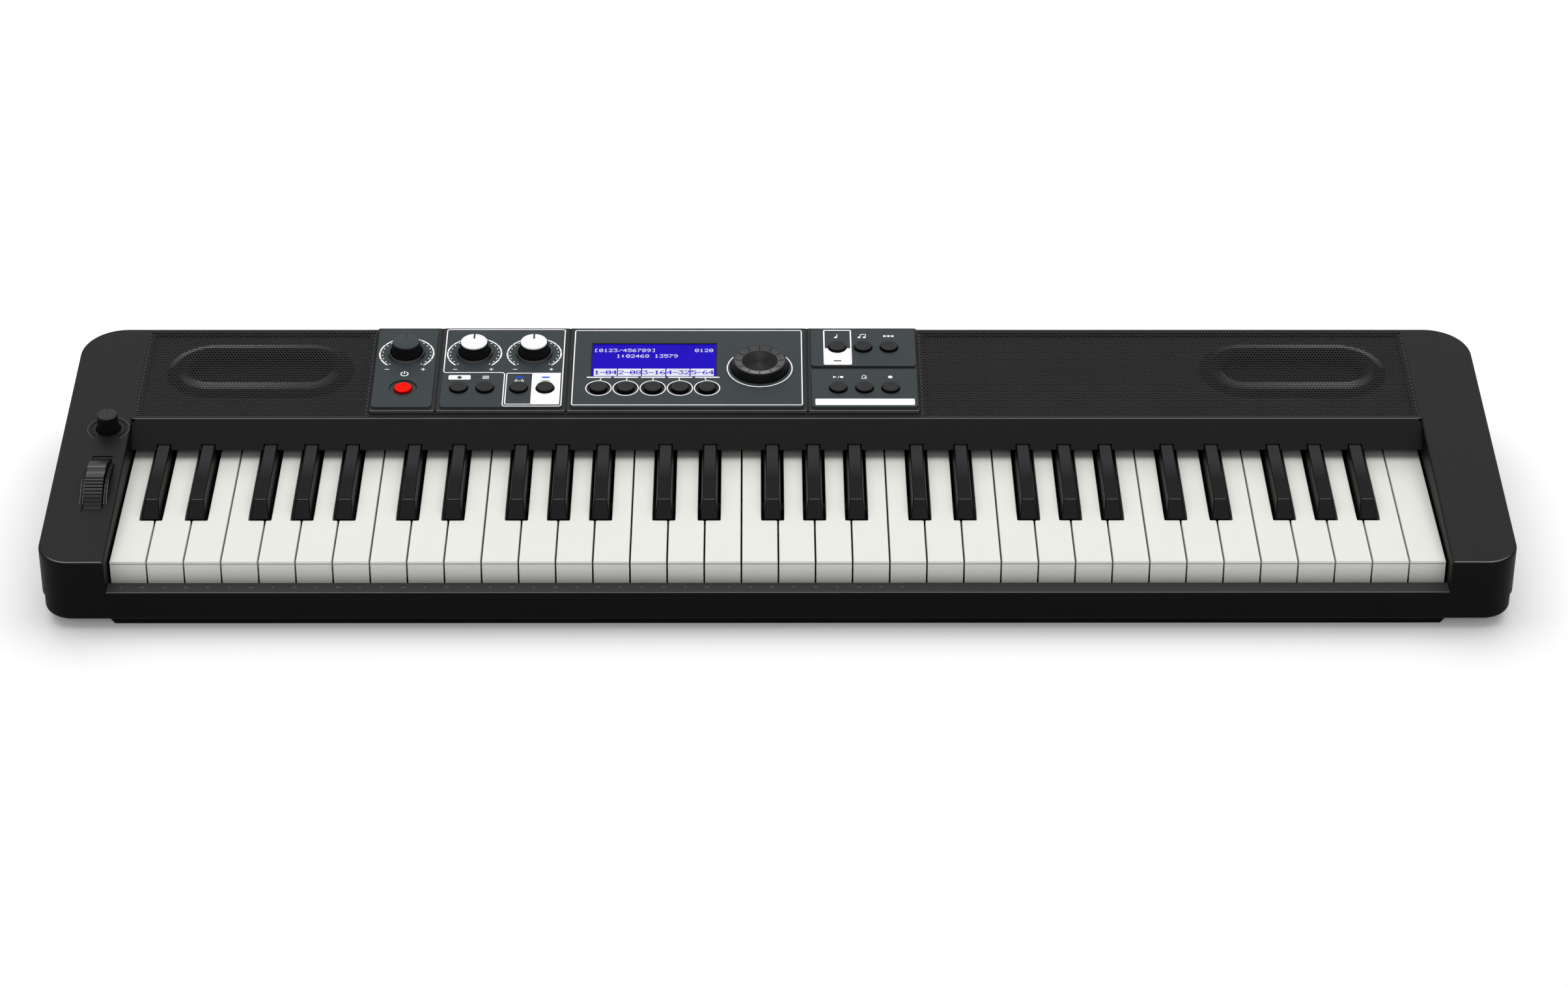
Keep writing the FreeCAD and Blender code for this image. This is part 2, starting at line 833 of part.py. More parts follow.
# The rib under a key that presses its contact when the key is down
def actuator(x, top, tier):
    travel = (hinge_line(tier)[0] - actuator_y) * math.tan(math.radians(comb_turn(tier)))
    return box(
        x - actuator_width / 2,
        x + actuator_width / 2,
        actuator_y - actuator_depth / 2,
        actuator_y + actuator_depth / 2,
        contact_top + travel + actuator_play,
        top + key_top_wall / 2,
    )


def edges_by_middle(shape, test):
    return [e for e in shape.Edges if test(e.valueAt((e.FirstParameter + e.LastParameter) / 2))]


# A black key: a cap that narrows upwards, with a sloping front, on a hollow box
def black_key(octave, note, tier):
    x = black_centre(octave, note)
    half = black_base_width / 2
    top_half = black_top_width / 2
    cap = Part.makeWedge(
        -half, white_top, -black_rear_y, -black_rear_y, -top_half,
        half, black_top, -black_front_y, -black_slope_y, top_half,
    )
    cap.rotate(vec(0, 0, 0), vec(1, 0, 0), 90)
    edges = edges_by_middle(cap, lambda p: not near(p.z, white_top) and not near(p.y, black_rear_y))
    cap = cap.makeFillet(black_edge_radius, edges)
    bottom = white_top - black_drop
    foot = box(-half, half, black_front_y, black_rear_y, bottom, white_top)
    inside = box(
        -top_half + key_wall,
        top_half - key_wall,
        black_slope_y,
        black_rear_y - key_wall,
        bottom - overrun,
        black_top - key_top_wall,
    )
    hinge_y, hinge_z = hinge_line(tier)
    neck = box(
        -black_neck_width / 2,
        black_neck_width / 2,
        black_rear_y - key_wall,
        hinge_y,
        hinge_z - neck_thickness / 2,
        hinge_z + neck_thickness / 2,
    )
    pieces = [cap.fuse(foot).cut(inside), neck, actuator(0, black_top - key_top_wall, tier)]
    for piece in pieces:
        piece.translate(vec(x, 0, 0))
    return pieces


# The three hinge lines, one behind and under the other: 0 and 1 for white keys, 2 for black keys
def hinge_line(tier):
    y = white_rear_y + hinge_reach - tier * hinge_step_back
    z = white_top - hinge_drop + tier * hinge_step_up
    return y, z


def bar_span(octave):
    left = octave_left(octave) + hinge_bar_gap / 2
    right = min(octave_left(octave + 1), -keys_left) - hinge_bar_gap / 2
    return left, right


# Keys of one moulding: the keys, and the bar that joins them and turns in the chassis
def key_comb(octave, notes, tier):
    left, right = bar_span(octave)
    pieces = [cross_rod(hinge_bar_radius, left, right, *hinge_line(tier))]
    for note in notes:
        make = white_key if note in white_notes else black_key
        pieces += make(octave, note, tier)
    return fuse(pieces)


def key_combs():
    combs = {}
    for octave in range(octave_count):
        number = octave + 1
        combs[f"white_keys_cegb_{number}"] = (octave, (0, 4, 7, 11), 0)
        combs[f"white_keys_dfa_{number}"] = (octave, (2, 5, 9), 1)
        combs[f"black_keys_{number}"] = (octave, (1, 3, 6, 8, 10), 2)
    combs["white_key_top_c"] = (octave_count, (0,), 0)
    return combs


# Turn of a comb, in degrees, that takes its key fronts down by the dip
def comb_turn(tier):
    y = hinge_line(tier)[0]
    if tier == 2:
        return math.degrees(math.atan(black_dip / (y - black_front_y)))
    return math.degrees(math.atan(key_dip / (y - white_front_y)))


def hinge_plate_spans():
    right = -keys_left
    spans = [(keys_left, keys_left + hinge_plate_thickness)]
    for octave in range(1, octave_count + 1):
        x = octave_left(octave)
        spans.append((x - hinge_plate_thickness / 2, x + hinge_plate_thickness / 2))
    spans.append((right - hinge_plate_thickness, right))
    return spans


def make_key_chassis():
    right = -keys_left
    rear = hinge_line(0)[0] + chassis_rear_margin
    pieces = [box(keys_left, right, front_y + chassis_front_gap, rear, lower_floor, chassis_top)]
    plate_front_y = hinge_line(2)[0] - hinge_plate_margin
    plate_rear_y = hinge_line(0)[0] + hinge_plate_margin
    plate_head = hinge_line(2)[1] + hinge_plate_margin
    for x0, x1 in hinge_plate_spans():
        pieces.append(box(x0, x1, plate_front_y, plate_rear_y, lower_floor, plate_head))
    post_y = white_front_y + guide_post_setback
    post_top = white_top - key_top_wall - key_dip - guide_post_clearance
    for i in range(white_count):
        x = keys_left + (i + 0.5) * white_pitch
        half = guide_post_size / 2
        pieces.append(box(x - half, x + half, post_y - half, post_y + half, lower_floor, post_top))
    board_half = contact_board_depth / 2
    for i in range(pedestal_count):
        x = keys_left + (i + 0.5) * (right - keys_left) / pedestal_count
        half = pedestal_width / 2
        pieces.append(
            box(
                x - half, x + half, actuator_y - board_half, actuator_y + board_half,
                lower_floor, contact_board_height,
            )
        )
    chassis = fuse(pieces)
    for tier in range(3):
        bore = cross_rod(hinge_bar_radius + running_clearance, keys_left, right, *hinge_line(tier))
        chassis = chassis.cut(bore)
    return chassis


def make_contact_board():
    half = contact_board_depth / 2
    x = -keys_left - hinge_plate_thickness
    return box(-x, x, actuator_y - half, actuator_y + half, contact_board_height, contact_board_top)


# Where the keys press, from the bass end
def key_middles():
    middles = []
    for octave, notes, tier in key_combs().values():
        for note in notes:
            if tier == 2:
                middles.append(black_centre(octave, note))
            else:
                points, tail_left, tail_right, left, right = white_plan(octave, note, 0)
                middles.append((tail_left + tail_right) / 2)
    return sorted(middles)


# The rubber contact strip, with its domes as low as a pressed key leaves them
def make_contact_rubber():
    half = contact_strip_depth / 2
    x = -keys_left - hinge_plate_thickness
    strip_top = contact_board_top + contact_strip_thickness
    pieces = [box(-x, x, actuator_y - half, actuator_y + half, contact_board_top, strip_top)]
    for middle in key_middles():
        pieces.append(
            rod(contact_dome_radius, middle, actuator_y, contact_board_top, strip_top + contact_dome_height)
        )
    return fuse(pieces)


def make_stop_felt():
    x = -keys_left - hinge_plate_thickness
    felt_top = chassis_top + felt_thickness
    return box(-x, x, white_front_y, white_front_y + felt_depth, chassis_top, felt_top)


# Places of the panel's controls, as (x, distance up the slope)
def button_places():
    places = {"power_button": (panel_left + volume_plate_width / 2, button_row)}
    places["home_button"] = (effects_left + home_button_from_left, button_row)
    places["menu_button"] = (effects_left + menu_button_from_left, button_row)
    places["surround_button"] = (effects_left + surround_button_from_left, button_row)
    places["dsp_button"] = (effects_left + dsp_button_from_left, button_row)
    for i in range(display_button_count):
        x = display_left + display_button_from_left + i * display_button_pitch
        places[f"display_button_{i + 1}"] = (x, button_row)
    tone_row = plate_rear - tone_plate_depth + tone_button_front
    rows = {tone_row: ("tone", "rhythm", "registration"), button_row: ("play", "tempo", "record")}
    for row, names in rows.items():
        for i, name in enumerate(names):
            places[f"{name}_button"] = (tone_left + tone_button_from_left + i * tone_button_pitch, row)
    return places


def knob_places():
    first = effects_left + effects_knob_from_left
    return {
        "volume_knob": (panel_left + volume_plate_width / 2, knob_row),
        "effect_knob_1": (first, knob_row),
        "effect_knob_2": (first + effects_knob_pitch, knob_row),
    }


def dial_place():
    x = display_left + display_plate_width - dial_end_gap - dial_base_radius
    return x, plate_front + dial_front


# Two lights, between the buttons that they belong to and the knobs
def led_places():
    low = button_row + button_radius
    high = knob_row - knob_collar_radius
    s = low + led_share * (high - low)
    places = button_places()
    return [(places[name][0], s) for name in ("surround_button", "dsp_button")]


def display_bounds(margin):
    x = display_left + display_from_left
    s = plate_front + display_front
    return x - margin, x + display_width + margin, s - margin, s + display_depth + margin


# Width of the dark collar round a button, or none
def collar_of(name):
    if name == "power_button":
        return power_collar_wall
    if name.startswith("display"):
        return collar_wall
    return 0


def collar(radius, wall, x, s, top):
    return rod(radius + wall, x, s, base_rise / 2, top).cut(rod(radius, x, s, 0, top + overrun))


def make_panel_base():
    top = slab(rectangle(base_left, base_right, base_front, base_rear, base_margin), 0, base_rise)
    top = top.makeFillet(base_edge_radius, edges_where(top, lambda p: near(p.z, base_rise)))
    inset = base_rim + base_fit
    x0, x1 = base_left + inset, base_right - inset
    pieces = [top, box(x0, x1, base_front + inset, base_rear - inset, -base_drop, base_rise / 2)]
    hole = button_radius + button_clearance
    for name, (x, s) in button_places().items():
        if collar_of(name):
            pieces.append(collar(hole, collar_of(name), x, s, plate_top - collar_drop))
    for x, s in knob_places().values():
        ring = knob_base_radius + knob_collar_gap
        pieces.append(collar(ring, knob_collar_wall, x, s, plate_top + part_gap))
    for x, s in standoff_places():
        pieces.append(rod(standoff_radius, x, s, board_top, 0))
    base = fuse(pieces)
    for shape in panel_base_cuts():
        base = base.cut(shape)
    return base


# Openings in the panel base: button bores and their flange pockets, shafts, the display, lights and grooves
def panel_base_cuts():
    cuts = []
    hole = button_radius + button_clearance
    for x, s in button_places().values():
        cuts.append(rod(hole, x, s, -tall, tall))
        cuts.append(rod(hole + button_flange, x, s, -tall, base_rise / 2 - part_gap))
    for x, s in list(knob_places().values()) + [dial_place()]:
        cuts.append(rod(shaft_radius + running_clearance, x, s, -tall, tall))
    x0, x1, s0, s1 = display_bounds(lcd_margin + lcd_fit)
    cuts.append(box(x0, x1, s0, s1, -tall, tall))
    cuts += [led_slot(x, s, led_fit) for x, s in led_places()]
    half = base_groove_width / 2
    for x in (effects_left, display_left, tone_left):
        middle = x - plate_gap / 2
        cuts.append(box(middle - half, middle + half, 0, overall_depth, base_rise / 3, overrun))
    return cuts


def led_slot(x, s, fit):
    wide = led_width / 2 + fit
    deep = led_depth / 2 + fit
    return box(x - wide, x + wide, s - deep, s + deep, board_top, plate_top + fit)


def board_bounds():
    inset = base_rim + base_fit + board_margin
    return base_left + inset, base_right - inset, base_front + inset, base_rear - inset


def standoff_places():
    x0, x1, s0, s1 = board_bounds()
    edge = standoff_radius
    middle = display_left - plate_gap / 2
    return [(x, s) for x in (x0 + edge, middle, x1 - edge) for s in (s0 + edge, s1 - edge)]


# A grey plate on the panel base, with its openings
def plate(x0, x1, s0, s1):
    sheet = slab(rectangle(x0, x1, s0, s1, plate_corner_radius), base_rise, plate_top)
    sheet = sheet.makeFillet(plate_edge_radius, edges_where(sheet, lambda p: near(p.z, plate_top)))
    for name, (x, s) in button_places().items():
        radius = button_radius + button_clearance + collar_of(name)
        sheet = sheet.cut(rod(radius + part_gap, x, s, 0, tall))
    for x, s in knob_places().values():
        sheet = sheet.cut(rod(knob_collar_radius + part_gap, x, s, 0, tall))
    sheet = sheet.cut(rod(dial_base_radius + dial_collar_gap, *dial_place(), 0, tall))
    for x, s in led_places():
        sheet = sheet.cut(led_slot(x, s, led_fit))
    dx0, dx1, ds0, ds1 = display_bounds(0)
    return on_panel(sheet.cut(box(dx0, dx1, ds0, ds1, 0, tall)))


def make_plates():
    tone_front = plate_rear - tone_plate_depth
    transport_rear = plate_front + tone_plate_depth
    return {
        "volume_plate": plate(panel_left, panel_left + volume_plate_width, plate_front, plate_rear),
        "effects_plate": plate(effects_left, effects_left + effects_plate_width, plate_front, plate_rear),
        "display_plate": plate(display_left, display_left + display_plate_width, plate_front, plate_rear),
        "tone_plate": plate(tone_left, panel_right, tone_front, plate_rear),
        "transport_plate": plate(tone_left, panel_right, plate_front, transport_rear),
    }


def make_display_lens():
    x0, x1, s0, s1 = display_bounds(-lens_clearance)
    top = plate_top - lens_recess
    return on_panel(box(x0, x1, s0, s1, top - lens_thickness, top))


def make_lcd_module():
    x0, x1, s0, s1 = display_bounds(lcd_margin)
    return on_panel(box(x0, x1, s0, s1, board_top, plate_top - lens_recess - lens_thickness))


# The control board, with the switches, turning controls and lights that are soldered to it
def make_control_board():
    x0, x1, s0, s1 = board_bounds()
    solids = [box(x0, x1, s0, s1, board_bottom, board_top)]
    half = switch_size / 2
    for x, s in button_places().values():
        switch = box(x - half, x + half, s - half, s + half, board_top, board_top + switch_height)
        bore_bottom = board_top + switch_height - switch_bore_depth
        solids.append(switch.cut(rod(button_stem_radius + running_clearance, x, s, bore_bottom, 0)))
    for x, s in list(knob_places().values()) + [dial_place()]:
        solids.append(pot(x, s, board_top))
    for x, s in led_places():
        solids.append(led_slot(x, s, 0))
    return on_panel(Part.makeCompound(solids))


# The body of a turning control, with the bush that its shaft turns in
def pot(x, s, bottom):
    half = pot_size / 2
    body = box(x - half, x + half, s - half, s + half, bottom, bottom + pot_height)
    return body.cut(rod(shaft_radius + running_clearance, x, s, bottom + part_gap, 0))


def button(x, s):
    flange_top = base_rise / 2 - 2 * part_gap
    flange_bottom = flange_top - button_flange_thickness
    top = plate_top + button_rise
    cap = rod(button_radius, x, s, flange_bottom, top)
    cap = cap.makeFillet(button_edge_radius, edges_where(cap, lambda p: near(p.z, top)))
    flange = rod(button_radius + button_flange, x, s, flange_bottom, flange_top)
    stem_end = board_top + switch_height - button_stem_entry
    stem = rod(button_stem_radius, x, s, stem_end, flange_bottom)
    return on_panel(fuse([cap, flange, stem]))


# A star-edged round outline, for grips
def fluted_prism(radius, depth, count, x, s, z0, z1):
    points = []
    for i in range(2 * count):
        angle = math.pi * i / count
        r = radius - depth * (i % 2)
        points.append((x + r * math.cos(angle), s + r * math.sin(angle), 0))
    return slab(points, z0, z1)


def knob(x, s):
    bottom = base_rise + part_gap
    top = plate_top + knob_height
    shoulder = top - knob_cap_thickness
    grip = fluted_prism(knob_base_radius, knob_flute_depth, knob_flute_count, x, s, bottom, shoulder)
    grip = grip.common(cone(knob_base_radius, knob_top_radius, x, s, bottom, shoulder))
    shaft = rod(shaft_radius, x, s, board_top + shaft_end_gap, bottom)
    cap = rod(knob_top_radius - knob_cap_inset, x, s, shoulder, top)
    half = knob_pointer_width / 2
    inner = s + knob_pointer_share * knob_top_radius
    floor = top - knob_pointer_depth
    pointer = box(x - half, x + half, inner, s + knob_top_radius, floor, top + overrun)
    return on_panel(fuse([grip, shaft, cap]).cut(pointer))


def make_data_dial():
    x, s = dial_place()
    bottom = base_rise + part_gap
    top = plate_top + dial_height
    floor = top - dial_dish_depth
    body = cone(dial_base_radius, dial_top_radius, x, s, bottom, top)
    body = body.makeFillet(dial_edge_radius, edges_where(body, lambda p: near(p.z, top)))
    body = body.cut(rod(dial_top_radius - dial_dish_inset, x, s, floor, top + overrun))
    outer = x + dial_top_radius - dial_mark_inset
    half = dial_mark_width / 2
    mark = box(outer - dial_mark_length, outer, s - half, s + half, floor, top + overrun)
    for i in range(dial_mark_count):
        turned = mark.copy()
        turned.rotate(vec(x, s, 0), vec(0, 0, 1), 360 * i / dial_mark_count)
        body = body.cut(turned)
    shaft = rod(shaft_radius, x, s, board_top + shaft_end_gap, bottom)
    return on_panel(fuse([body, shaft]))


def make_grille(side):
    x0, x1, s0, s1 = grille_bounds(side)
    fit = grille_fit
    corners = rectangle(x0 + fit, x1 - fit, s0 + fit, s1 - fit, grille_corner_radius - fit)
    return on_panel(slab(corners, -grille_drop - grille_thickness, -grille_drop))


# An oval speaker: a flange under the baffle, a basket with an open cone, and a magnet
def driver(side):
    x = side * speaker_x
    s = speaker_centre
    top = -baffle_drop - baffle_thickness
    flange_bottom = top - driver_flange_thickness
    basket_bottom = flange_bottom - driver_depth
    throat_width = horn_width - 2 * horn_taper
    throat_depth = horn_depth - 2 * horn_taper
    rim = stadium(x, s, horn_width + 2 * driver_flange, horn_depth + 2 * driver_flange)
    flange = slab(rim, flange_bottom, top)
    neck = stadium(x, s, 2 * magnet_radius + cone_wall, 2 * magnet_radius)
    basket = taper(stadium(x, s, throat_width, throat_depth), neck, flange_bottom, basket_bottom)
    magnet = rod(magnet_radius, x, s, basket_bottom - magnet_height, basket_bottom)
    mouth = stadium(x, s, throat_width - 2 * cone_wall, throat_depth - 2 * cone_wall)
    heart_depth = 2 * (magnet_radius - 2 * cone_wall)
    heart = stadium(x, s, heart_depth + cone_wall, heart_depth)
    bowl = taper(mouth, heart, flange_bottom, basket_bottom + cone_wall)
    entry = slab(mouth, flange_bottom, top)
    return on_panel(fuse([flange, basket, magnet]).cut(bowl).cut(entry))


def make_speaker_drivers():
    return Part.makeCompound([driver(-1), driver(1)])


# The pitch wheel: a ribbed sector on a hub, with a dent for the thumb
def make_pitch_wheel():
    centre_s = wheel_centre
    centre_h = -wheel_axis_drop
    sector = math.radians(wheel_turn + wheel_sector_margin)
    points = []
    for i in range(2 * wheel_rib_count + 1):
        angle = -sector + sector * i / wheel_rib_count
        r = wheel_radius - wheel_rib_depth * (i % 2)
        points.append((centre_s + r * math.sin(angle), centre_h + r * math.cos(angle), 0))
    inner = wheel_radius - wheel_rim
    points.append((centre_s + inner * math.sin(sector), centre_h + inner * math.cos(sector), 0))
    points.append((centre_s, centre_h, 0))
    points.append((centre_s - inner * math.sin(sector), centre_h + inner * math.cos(sector), 0))
    x0 = bender_x - wheel_width / 2
    x1 = bender_x + wheel_width / 2
    rim = bar_across(points, x0, x1)
    dent_h = centre_h + wheel_radius + wheel_dent_radius - wheel_dent_depth
    rim = rim.cut(cross_rod(wheel_dent_radius, x0, x1, centre_s, dent_h))
    for side in (-1, 1):
        web = side * (wheel_width / 2 - bracket_wall)
        a, b = sorted((bender_x + web, bender_x + side * (wheel_width / 2 + overrun)))
        rim = rim.cut(cross_rod(inner, a, b, centre_s, centre_h))
    hub = cross_rod(wheel_hub_radius, x0, x1, centre_s, centre_h)
    reach = wheel_slot_width / 2 + bracket_gap + bracket_wall
    axle = cross_rod(axle_radius, bender_x - reach, bender_x + reach, centre_s, centre_h)
    return on_panel(fuse([rim, hub, axle]))


# The bracket under the bass end: bearings for the wheel, and a post that carries the knob's control
def make_bender_bracket():
    axis_y = panel_y(wheel_centre, -wheel_axis_drop)
    axis_z = panel_z(wheel_centre, -wheel_axis_drop)
    post_y = panel_y(modulation_centre, -modulation_pot_depth)
    inner = wheel_slot_width / 2 + bracket_gap
    outer = inner + bracket_wall
    half = bracket_length / 2
    post_half = pedestal_size / 2
    x0, x1 = bender_x - outer, bender_x + outer
    pieces = [box(x0, x1, axis_y - half, post_y + post_half, lower_floor, lower_floor + bracket_wall)]
    for side in (-1, 1):
        a, b = sorted((bender_x + side * inner, bender_x + side * outer))
        pieces.append(box(a, b, axis_y - half, axis_y + half, lower_floor, axis_z + bracket_top_margin))
    x0, x1 = bender_x - post_half, bender_x + post_half
    post = box(x0, x1, post_y - post_half, post_y + post_half, lower_floor, tall)
    above = on_panel(box(-overall_width, 0, 0, overall_depth, -modulation_pot_depth, tall))
    pieces.append(post.cut(above))
    x0, x1 = bender_x - 2 * outer, bender_x + 2 * outer
    bore = cross_rod(axle_radius + running_clearance, x0, x1, axis_y, axis_z)
    control = on_panel(pot(bender_x, modulation_centre, -modulation_pot_depth))
    return Part.makeCompound([fuse(pieces).cut(bore), control])


def make_modulation_knob():
    x = bender_x
    s = modulation_centre
    top = modulation_height
    body = cone(modulation_base_radius, modulation_top_radius, x, s, -case_wall, top)
    body = body.makeFillet(knob_cap_thickness, edges_where(body, lambda p: near(p.z, top)))
    half = knob_pointer_width / 2
    floor = top - knob_pointer_depth
    pointer = box(x - half, x + half, s, s + 2 * modulation_top_radius, floor, top + overrun)
    shaft = rod(shaft_radius, x, s, -modulation_pot_depth + shaft_end_gap, -case_wall)
    return on_panel(fuse([body, shaft]).cut(pointer))


def socket_board_bounds():
    rear = rear_wall_y - part_gap
    depth = socket_bore_length + socket_end_wall + 2 * socket_board_margin
    left = socket_left + socket_board_margin
    right = socket_left + socket_panel_width - socket_board_margin
    return left, right, rear - depth, rear


def socket_post_places():
    x0, x1, y0, _ = socket_board_bounds()
    y = y0 + socket_post_radius
    return [(x0 + socket_post_radius, y), ((x0 + x1) / 2, y), (x1 - socket_post_radius, y)]


# Places along the rear wall: the inlet, then the jacks, then the data ports
def socket_places():
    inlet_x = socket_left + inlet_end_gap
    jacks = [inlet_x + (i + 1) * socket_pitch for i in range(socket_count)]
    return inlet_x, jacks, [socket_left + usb_from_left + i * usb_pitch for i in range(usb_count)]


def y_rod(radius, x, y0, y1, z):
    return Part.makeCylinder(radius, y1 - y0, vec(x, y0, z), vec(0, 1, 0))


# A jack's body, with a nose that ends flush with the panel, and the port for that nose
def jack(x):
    half = socket_body_size / 2
    bore_y = rear_wall_y - socket_bore_length
    top = socket_board_z + socket_body_size
    block = box(x - half, x + half, bore_y - socket_end_wall, rear_wall_y, socket_board_z, top)
    nose_radius = socket_bore_radius + socket_nose_wall
    nose = y_rod(nose_radius, x, bore_y, half_depth, socket_height)
    bore = y_rod(socket_bore_radius, x, bore_y, half_depth + overrun, socket_height)
    port = y_rod(nose_radius + part_gap, x, rear_wall_y - overrun, half_depth + overrun, socket_height)
    return fuse([block, nose]).cut(bore), port


# The power inlet's body, with the pin in its hollow, and its port
def inlet(x):
    half = inlet_body_size / 2
    z = socket_board_z + half
    back = rear_wall_y - inlet_depth
    body = box(x - half, x + half, back - socket_end_wall, rear_wall_y, z - half, z + half)
    hollow = y_rod(inlet_radius, x, back, half_depth, z)
    pin = y_rod(inlet_pin_radius, x, back, rear_wall_y, z)
    radius = inlet_radius + socket_port_clearance
    port = y_rod(radius, x, rear_wall_y - overrun, half_depth + overrun, z)
    return body.cut(hollow.cut(pin)), port


# A data port's metal shell, with the tongue inside, and its port in the panel
def data_port(x):
    wide = usb_width / 2
    shell_half = wide + usb_wall
    tongue_half = wide - usb_wall
    top = socket_board_z + usb_height + 2 * usb_wall
    front = rear_wall_y - usb_depth
    back = front + usb_wall
    floor = socket_board_z + usb_wall
    ceiling = top - usb_wall
    middle = (socket_board_z + top) / 2
    thick = usb_height * usb_tongue_share / 2
    shell = box(x - shell_half, x + shell_half, front, rear_wall_y, socket_board_z, top)
    room = box(x - wide, x + wide, back, half_depth, floor, ceiling)
    tongue = box(x - tongue_half, x + tongue_half, back, rear_wall_y, middle - thick, middle + thick)
    port = box(x - wide, x + wide, rear_wall_y - overrun, half_depth + overrun, floor, ceiling)
    return shell.cut(room.cut(tongue)), port


# The socket unit: a panel that closes the window in the rear wall, and the sockets on their board
def make_socket_unit():
    left = socket_left + part_gap
    right = socket_left + socket_panel_width - part_gap
    panel = box(left, right, rear_wall_y, half_depth, seam_height, socket_panel_top - part_gap)
    x0, x1, y0, y1 = socket_board_bounds()
    solids = [box(x0, x1, y0, y1, socket_board_z - socket_board_thickness, socket_board_z)]
    inlet_x, jacks, data_ports = socket_places()
    fitted = [inlet(inlet_x)] + [jack(x) for x in jacks] + [data_port(x) for x in data_ports]
    for body, port in fitted:
        solids.append(body)
        panel = panel.cut(port)
    return Part.makeCompound([panel] + solids)


def make_parts():
    parts = {
        "upper_case": make_upper_case(),
        "lower_case": make_lower_case(),
        "rubber_feet": make_feet(),
        "case_screws": make_screws(),
        "speaker_grille_left": make_grille(-1),
        "speaker_grille_right": make_grille(1),
        "speaker_drivers": make_speaker_drivers(),
        "panel_base": on_panel(make_panel_base()),
        "display_lens": make_display_lens(),
        "lcd_module": make_lcd_module(),
        "control_board": make_control_board(),
        "key_chassis": make_key_chassis(),
        "key_contact_board": make_contact_board(),
        "key_contact_rubber": make_contact_rubber(),
        "key_stop_felt": make_stop_felt(),
        "bender_bracket": make_bender_bracket(),
        "socket_unit": make_socket_unit(),
        "pitch_wheel": make_pitch_wheel(),
        "modulation_knob": make_modulation_knob(),
        "data_dial": make_data_dial(),
    }
    parts.update(make_plates())
    for name, place in knob_places().items():
        parts[name] = knob(*place)
    for name, place in button_places().items():
        parts[name] = button(*place)
    for name, comb in key_combs().items():
        parts[name] = key_comb(*comb)
    return parts


def main():
    os.makedirs("parts", exist_ok=True)
    for name, shape in make_parts().items():
        shape.exportStep(f"parts/{name}.step")
        print(name, len(shape.Solids), round(shape.Volume / 1000, 1), shape.isValid())


if __name__ == "__main__":
    main()
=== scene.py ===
import json
import math
import re

import bpy
import numpy as np
from mathutils import Matrix, Vector


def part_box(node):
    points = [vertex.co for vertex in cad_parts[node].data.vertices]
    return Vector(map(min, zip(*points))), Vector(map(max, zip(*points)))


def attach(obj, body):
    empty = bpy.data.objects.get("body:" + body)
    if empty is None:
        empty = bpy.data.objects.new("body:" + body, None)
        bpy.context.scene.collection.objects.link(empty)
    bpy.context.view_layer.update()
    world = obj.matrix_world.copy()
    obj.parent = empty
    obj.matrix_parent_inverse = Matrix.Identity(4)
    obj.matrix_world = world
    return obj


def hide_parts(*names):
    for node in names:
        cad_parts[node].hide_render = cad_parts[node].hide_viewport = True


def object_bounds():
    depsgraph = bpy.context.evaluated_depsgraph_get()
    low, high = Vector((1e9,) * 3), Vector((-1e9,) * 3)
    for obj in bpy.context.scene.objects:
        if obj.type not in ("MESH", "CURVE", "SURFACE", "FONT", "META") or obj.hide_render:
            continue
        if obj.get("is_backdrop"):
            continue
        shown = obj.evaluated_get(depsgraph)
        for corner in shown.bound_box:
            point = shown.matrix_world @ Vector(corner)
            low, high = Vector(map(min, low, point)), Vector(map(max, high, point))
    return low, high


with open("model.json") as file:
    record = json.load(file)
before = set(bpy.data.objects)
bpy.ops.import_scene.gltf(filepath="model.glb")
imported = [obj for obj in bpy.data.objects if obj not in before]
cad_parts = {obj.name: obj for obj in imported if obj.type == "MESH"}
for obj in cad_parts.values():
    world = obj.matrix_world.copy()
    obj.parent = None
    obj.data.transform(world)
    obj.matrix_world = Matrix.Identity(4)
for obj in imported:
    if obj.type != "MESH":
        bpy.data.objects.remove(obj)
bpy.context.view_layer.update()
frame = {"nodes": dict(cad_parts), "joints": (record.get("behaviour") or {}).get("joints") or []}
nodes = frame["nodes"]
joints = {j["name"]: j for j in frame["joints"]}
mm = 0.001

# The sloping top: x to the right, s up the slope from the front edge, h out of it, all in mm
panelNormal = Vector(joints["data_dial_turn"]["axis"]).normalized()
panelRun = panelNormal.cross(Vector((1, 0, 0)))
dialPos = Vector(joints["data_dial_turn"]["pos_m"])
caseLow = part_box("upper_case")[0]
panelOrigin = dialPos - panelRun * ((dialPos.y - caseLow.y) / panelRun.y)
panelOrigin.x = 0
panelMatrix = Matrix((
    (mm, 0, 0, 0),
    (0, panelRun.y * mm, panelNormal.y * mm, panelOrigin.y),
    (0, panelRun.z * mm, panelNormal.z * mm, panelOrigin.z),
    (0, 0, 0, 1),
))
mmMatrix = Matrix.Diagonal((mm, mm, mm, 1))


def toPanel(point):
    gap = Vector(point) - panelOrigin
    return gap.x / mm, gap.dot(panelRun) / mm, gap.dot(panelNormal) / mm


def controlAt(node):
    low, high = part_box(node)
    return toPanel((low + high) / 2)[:2]


def turnAt(joint):
    return toPanel(joints[joint]["pos_m"])[:2]


# Extent of a flat piece on the panel: x0, x1, s0, s1 and its highest h
def panelBox(node):
    at = np.array([toPanel(v.co) for v in nodes[node].data.vertices])
    low, high = at.min(0), at.max(0)
    return low[0], high[0], low[1], high[1], high[2]


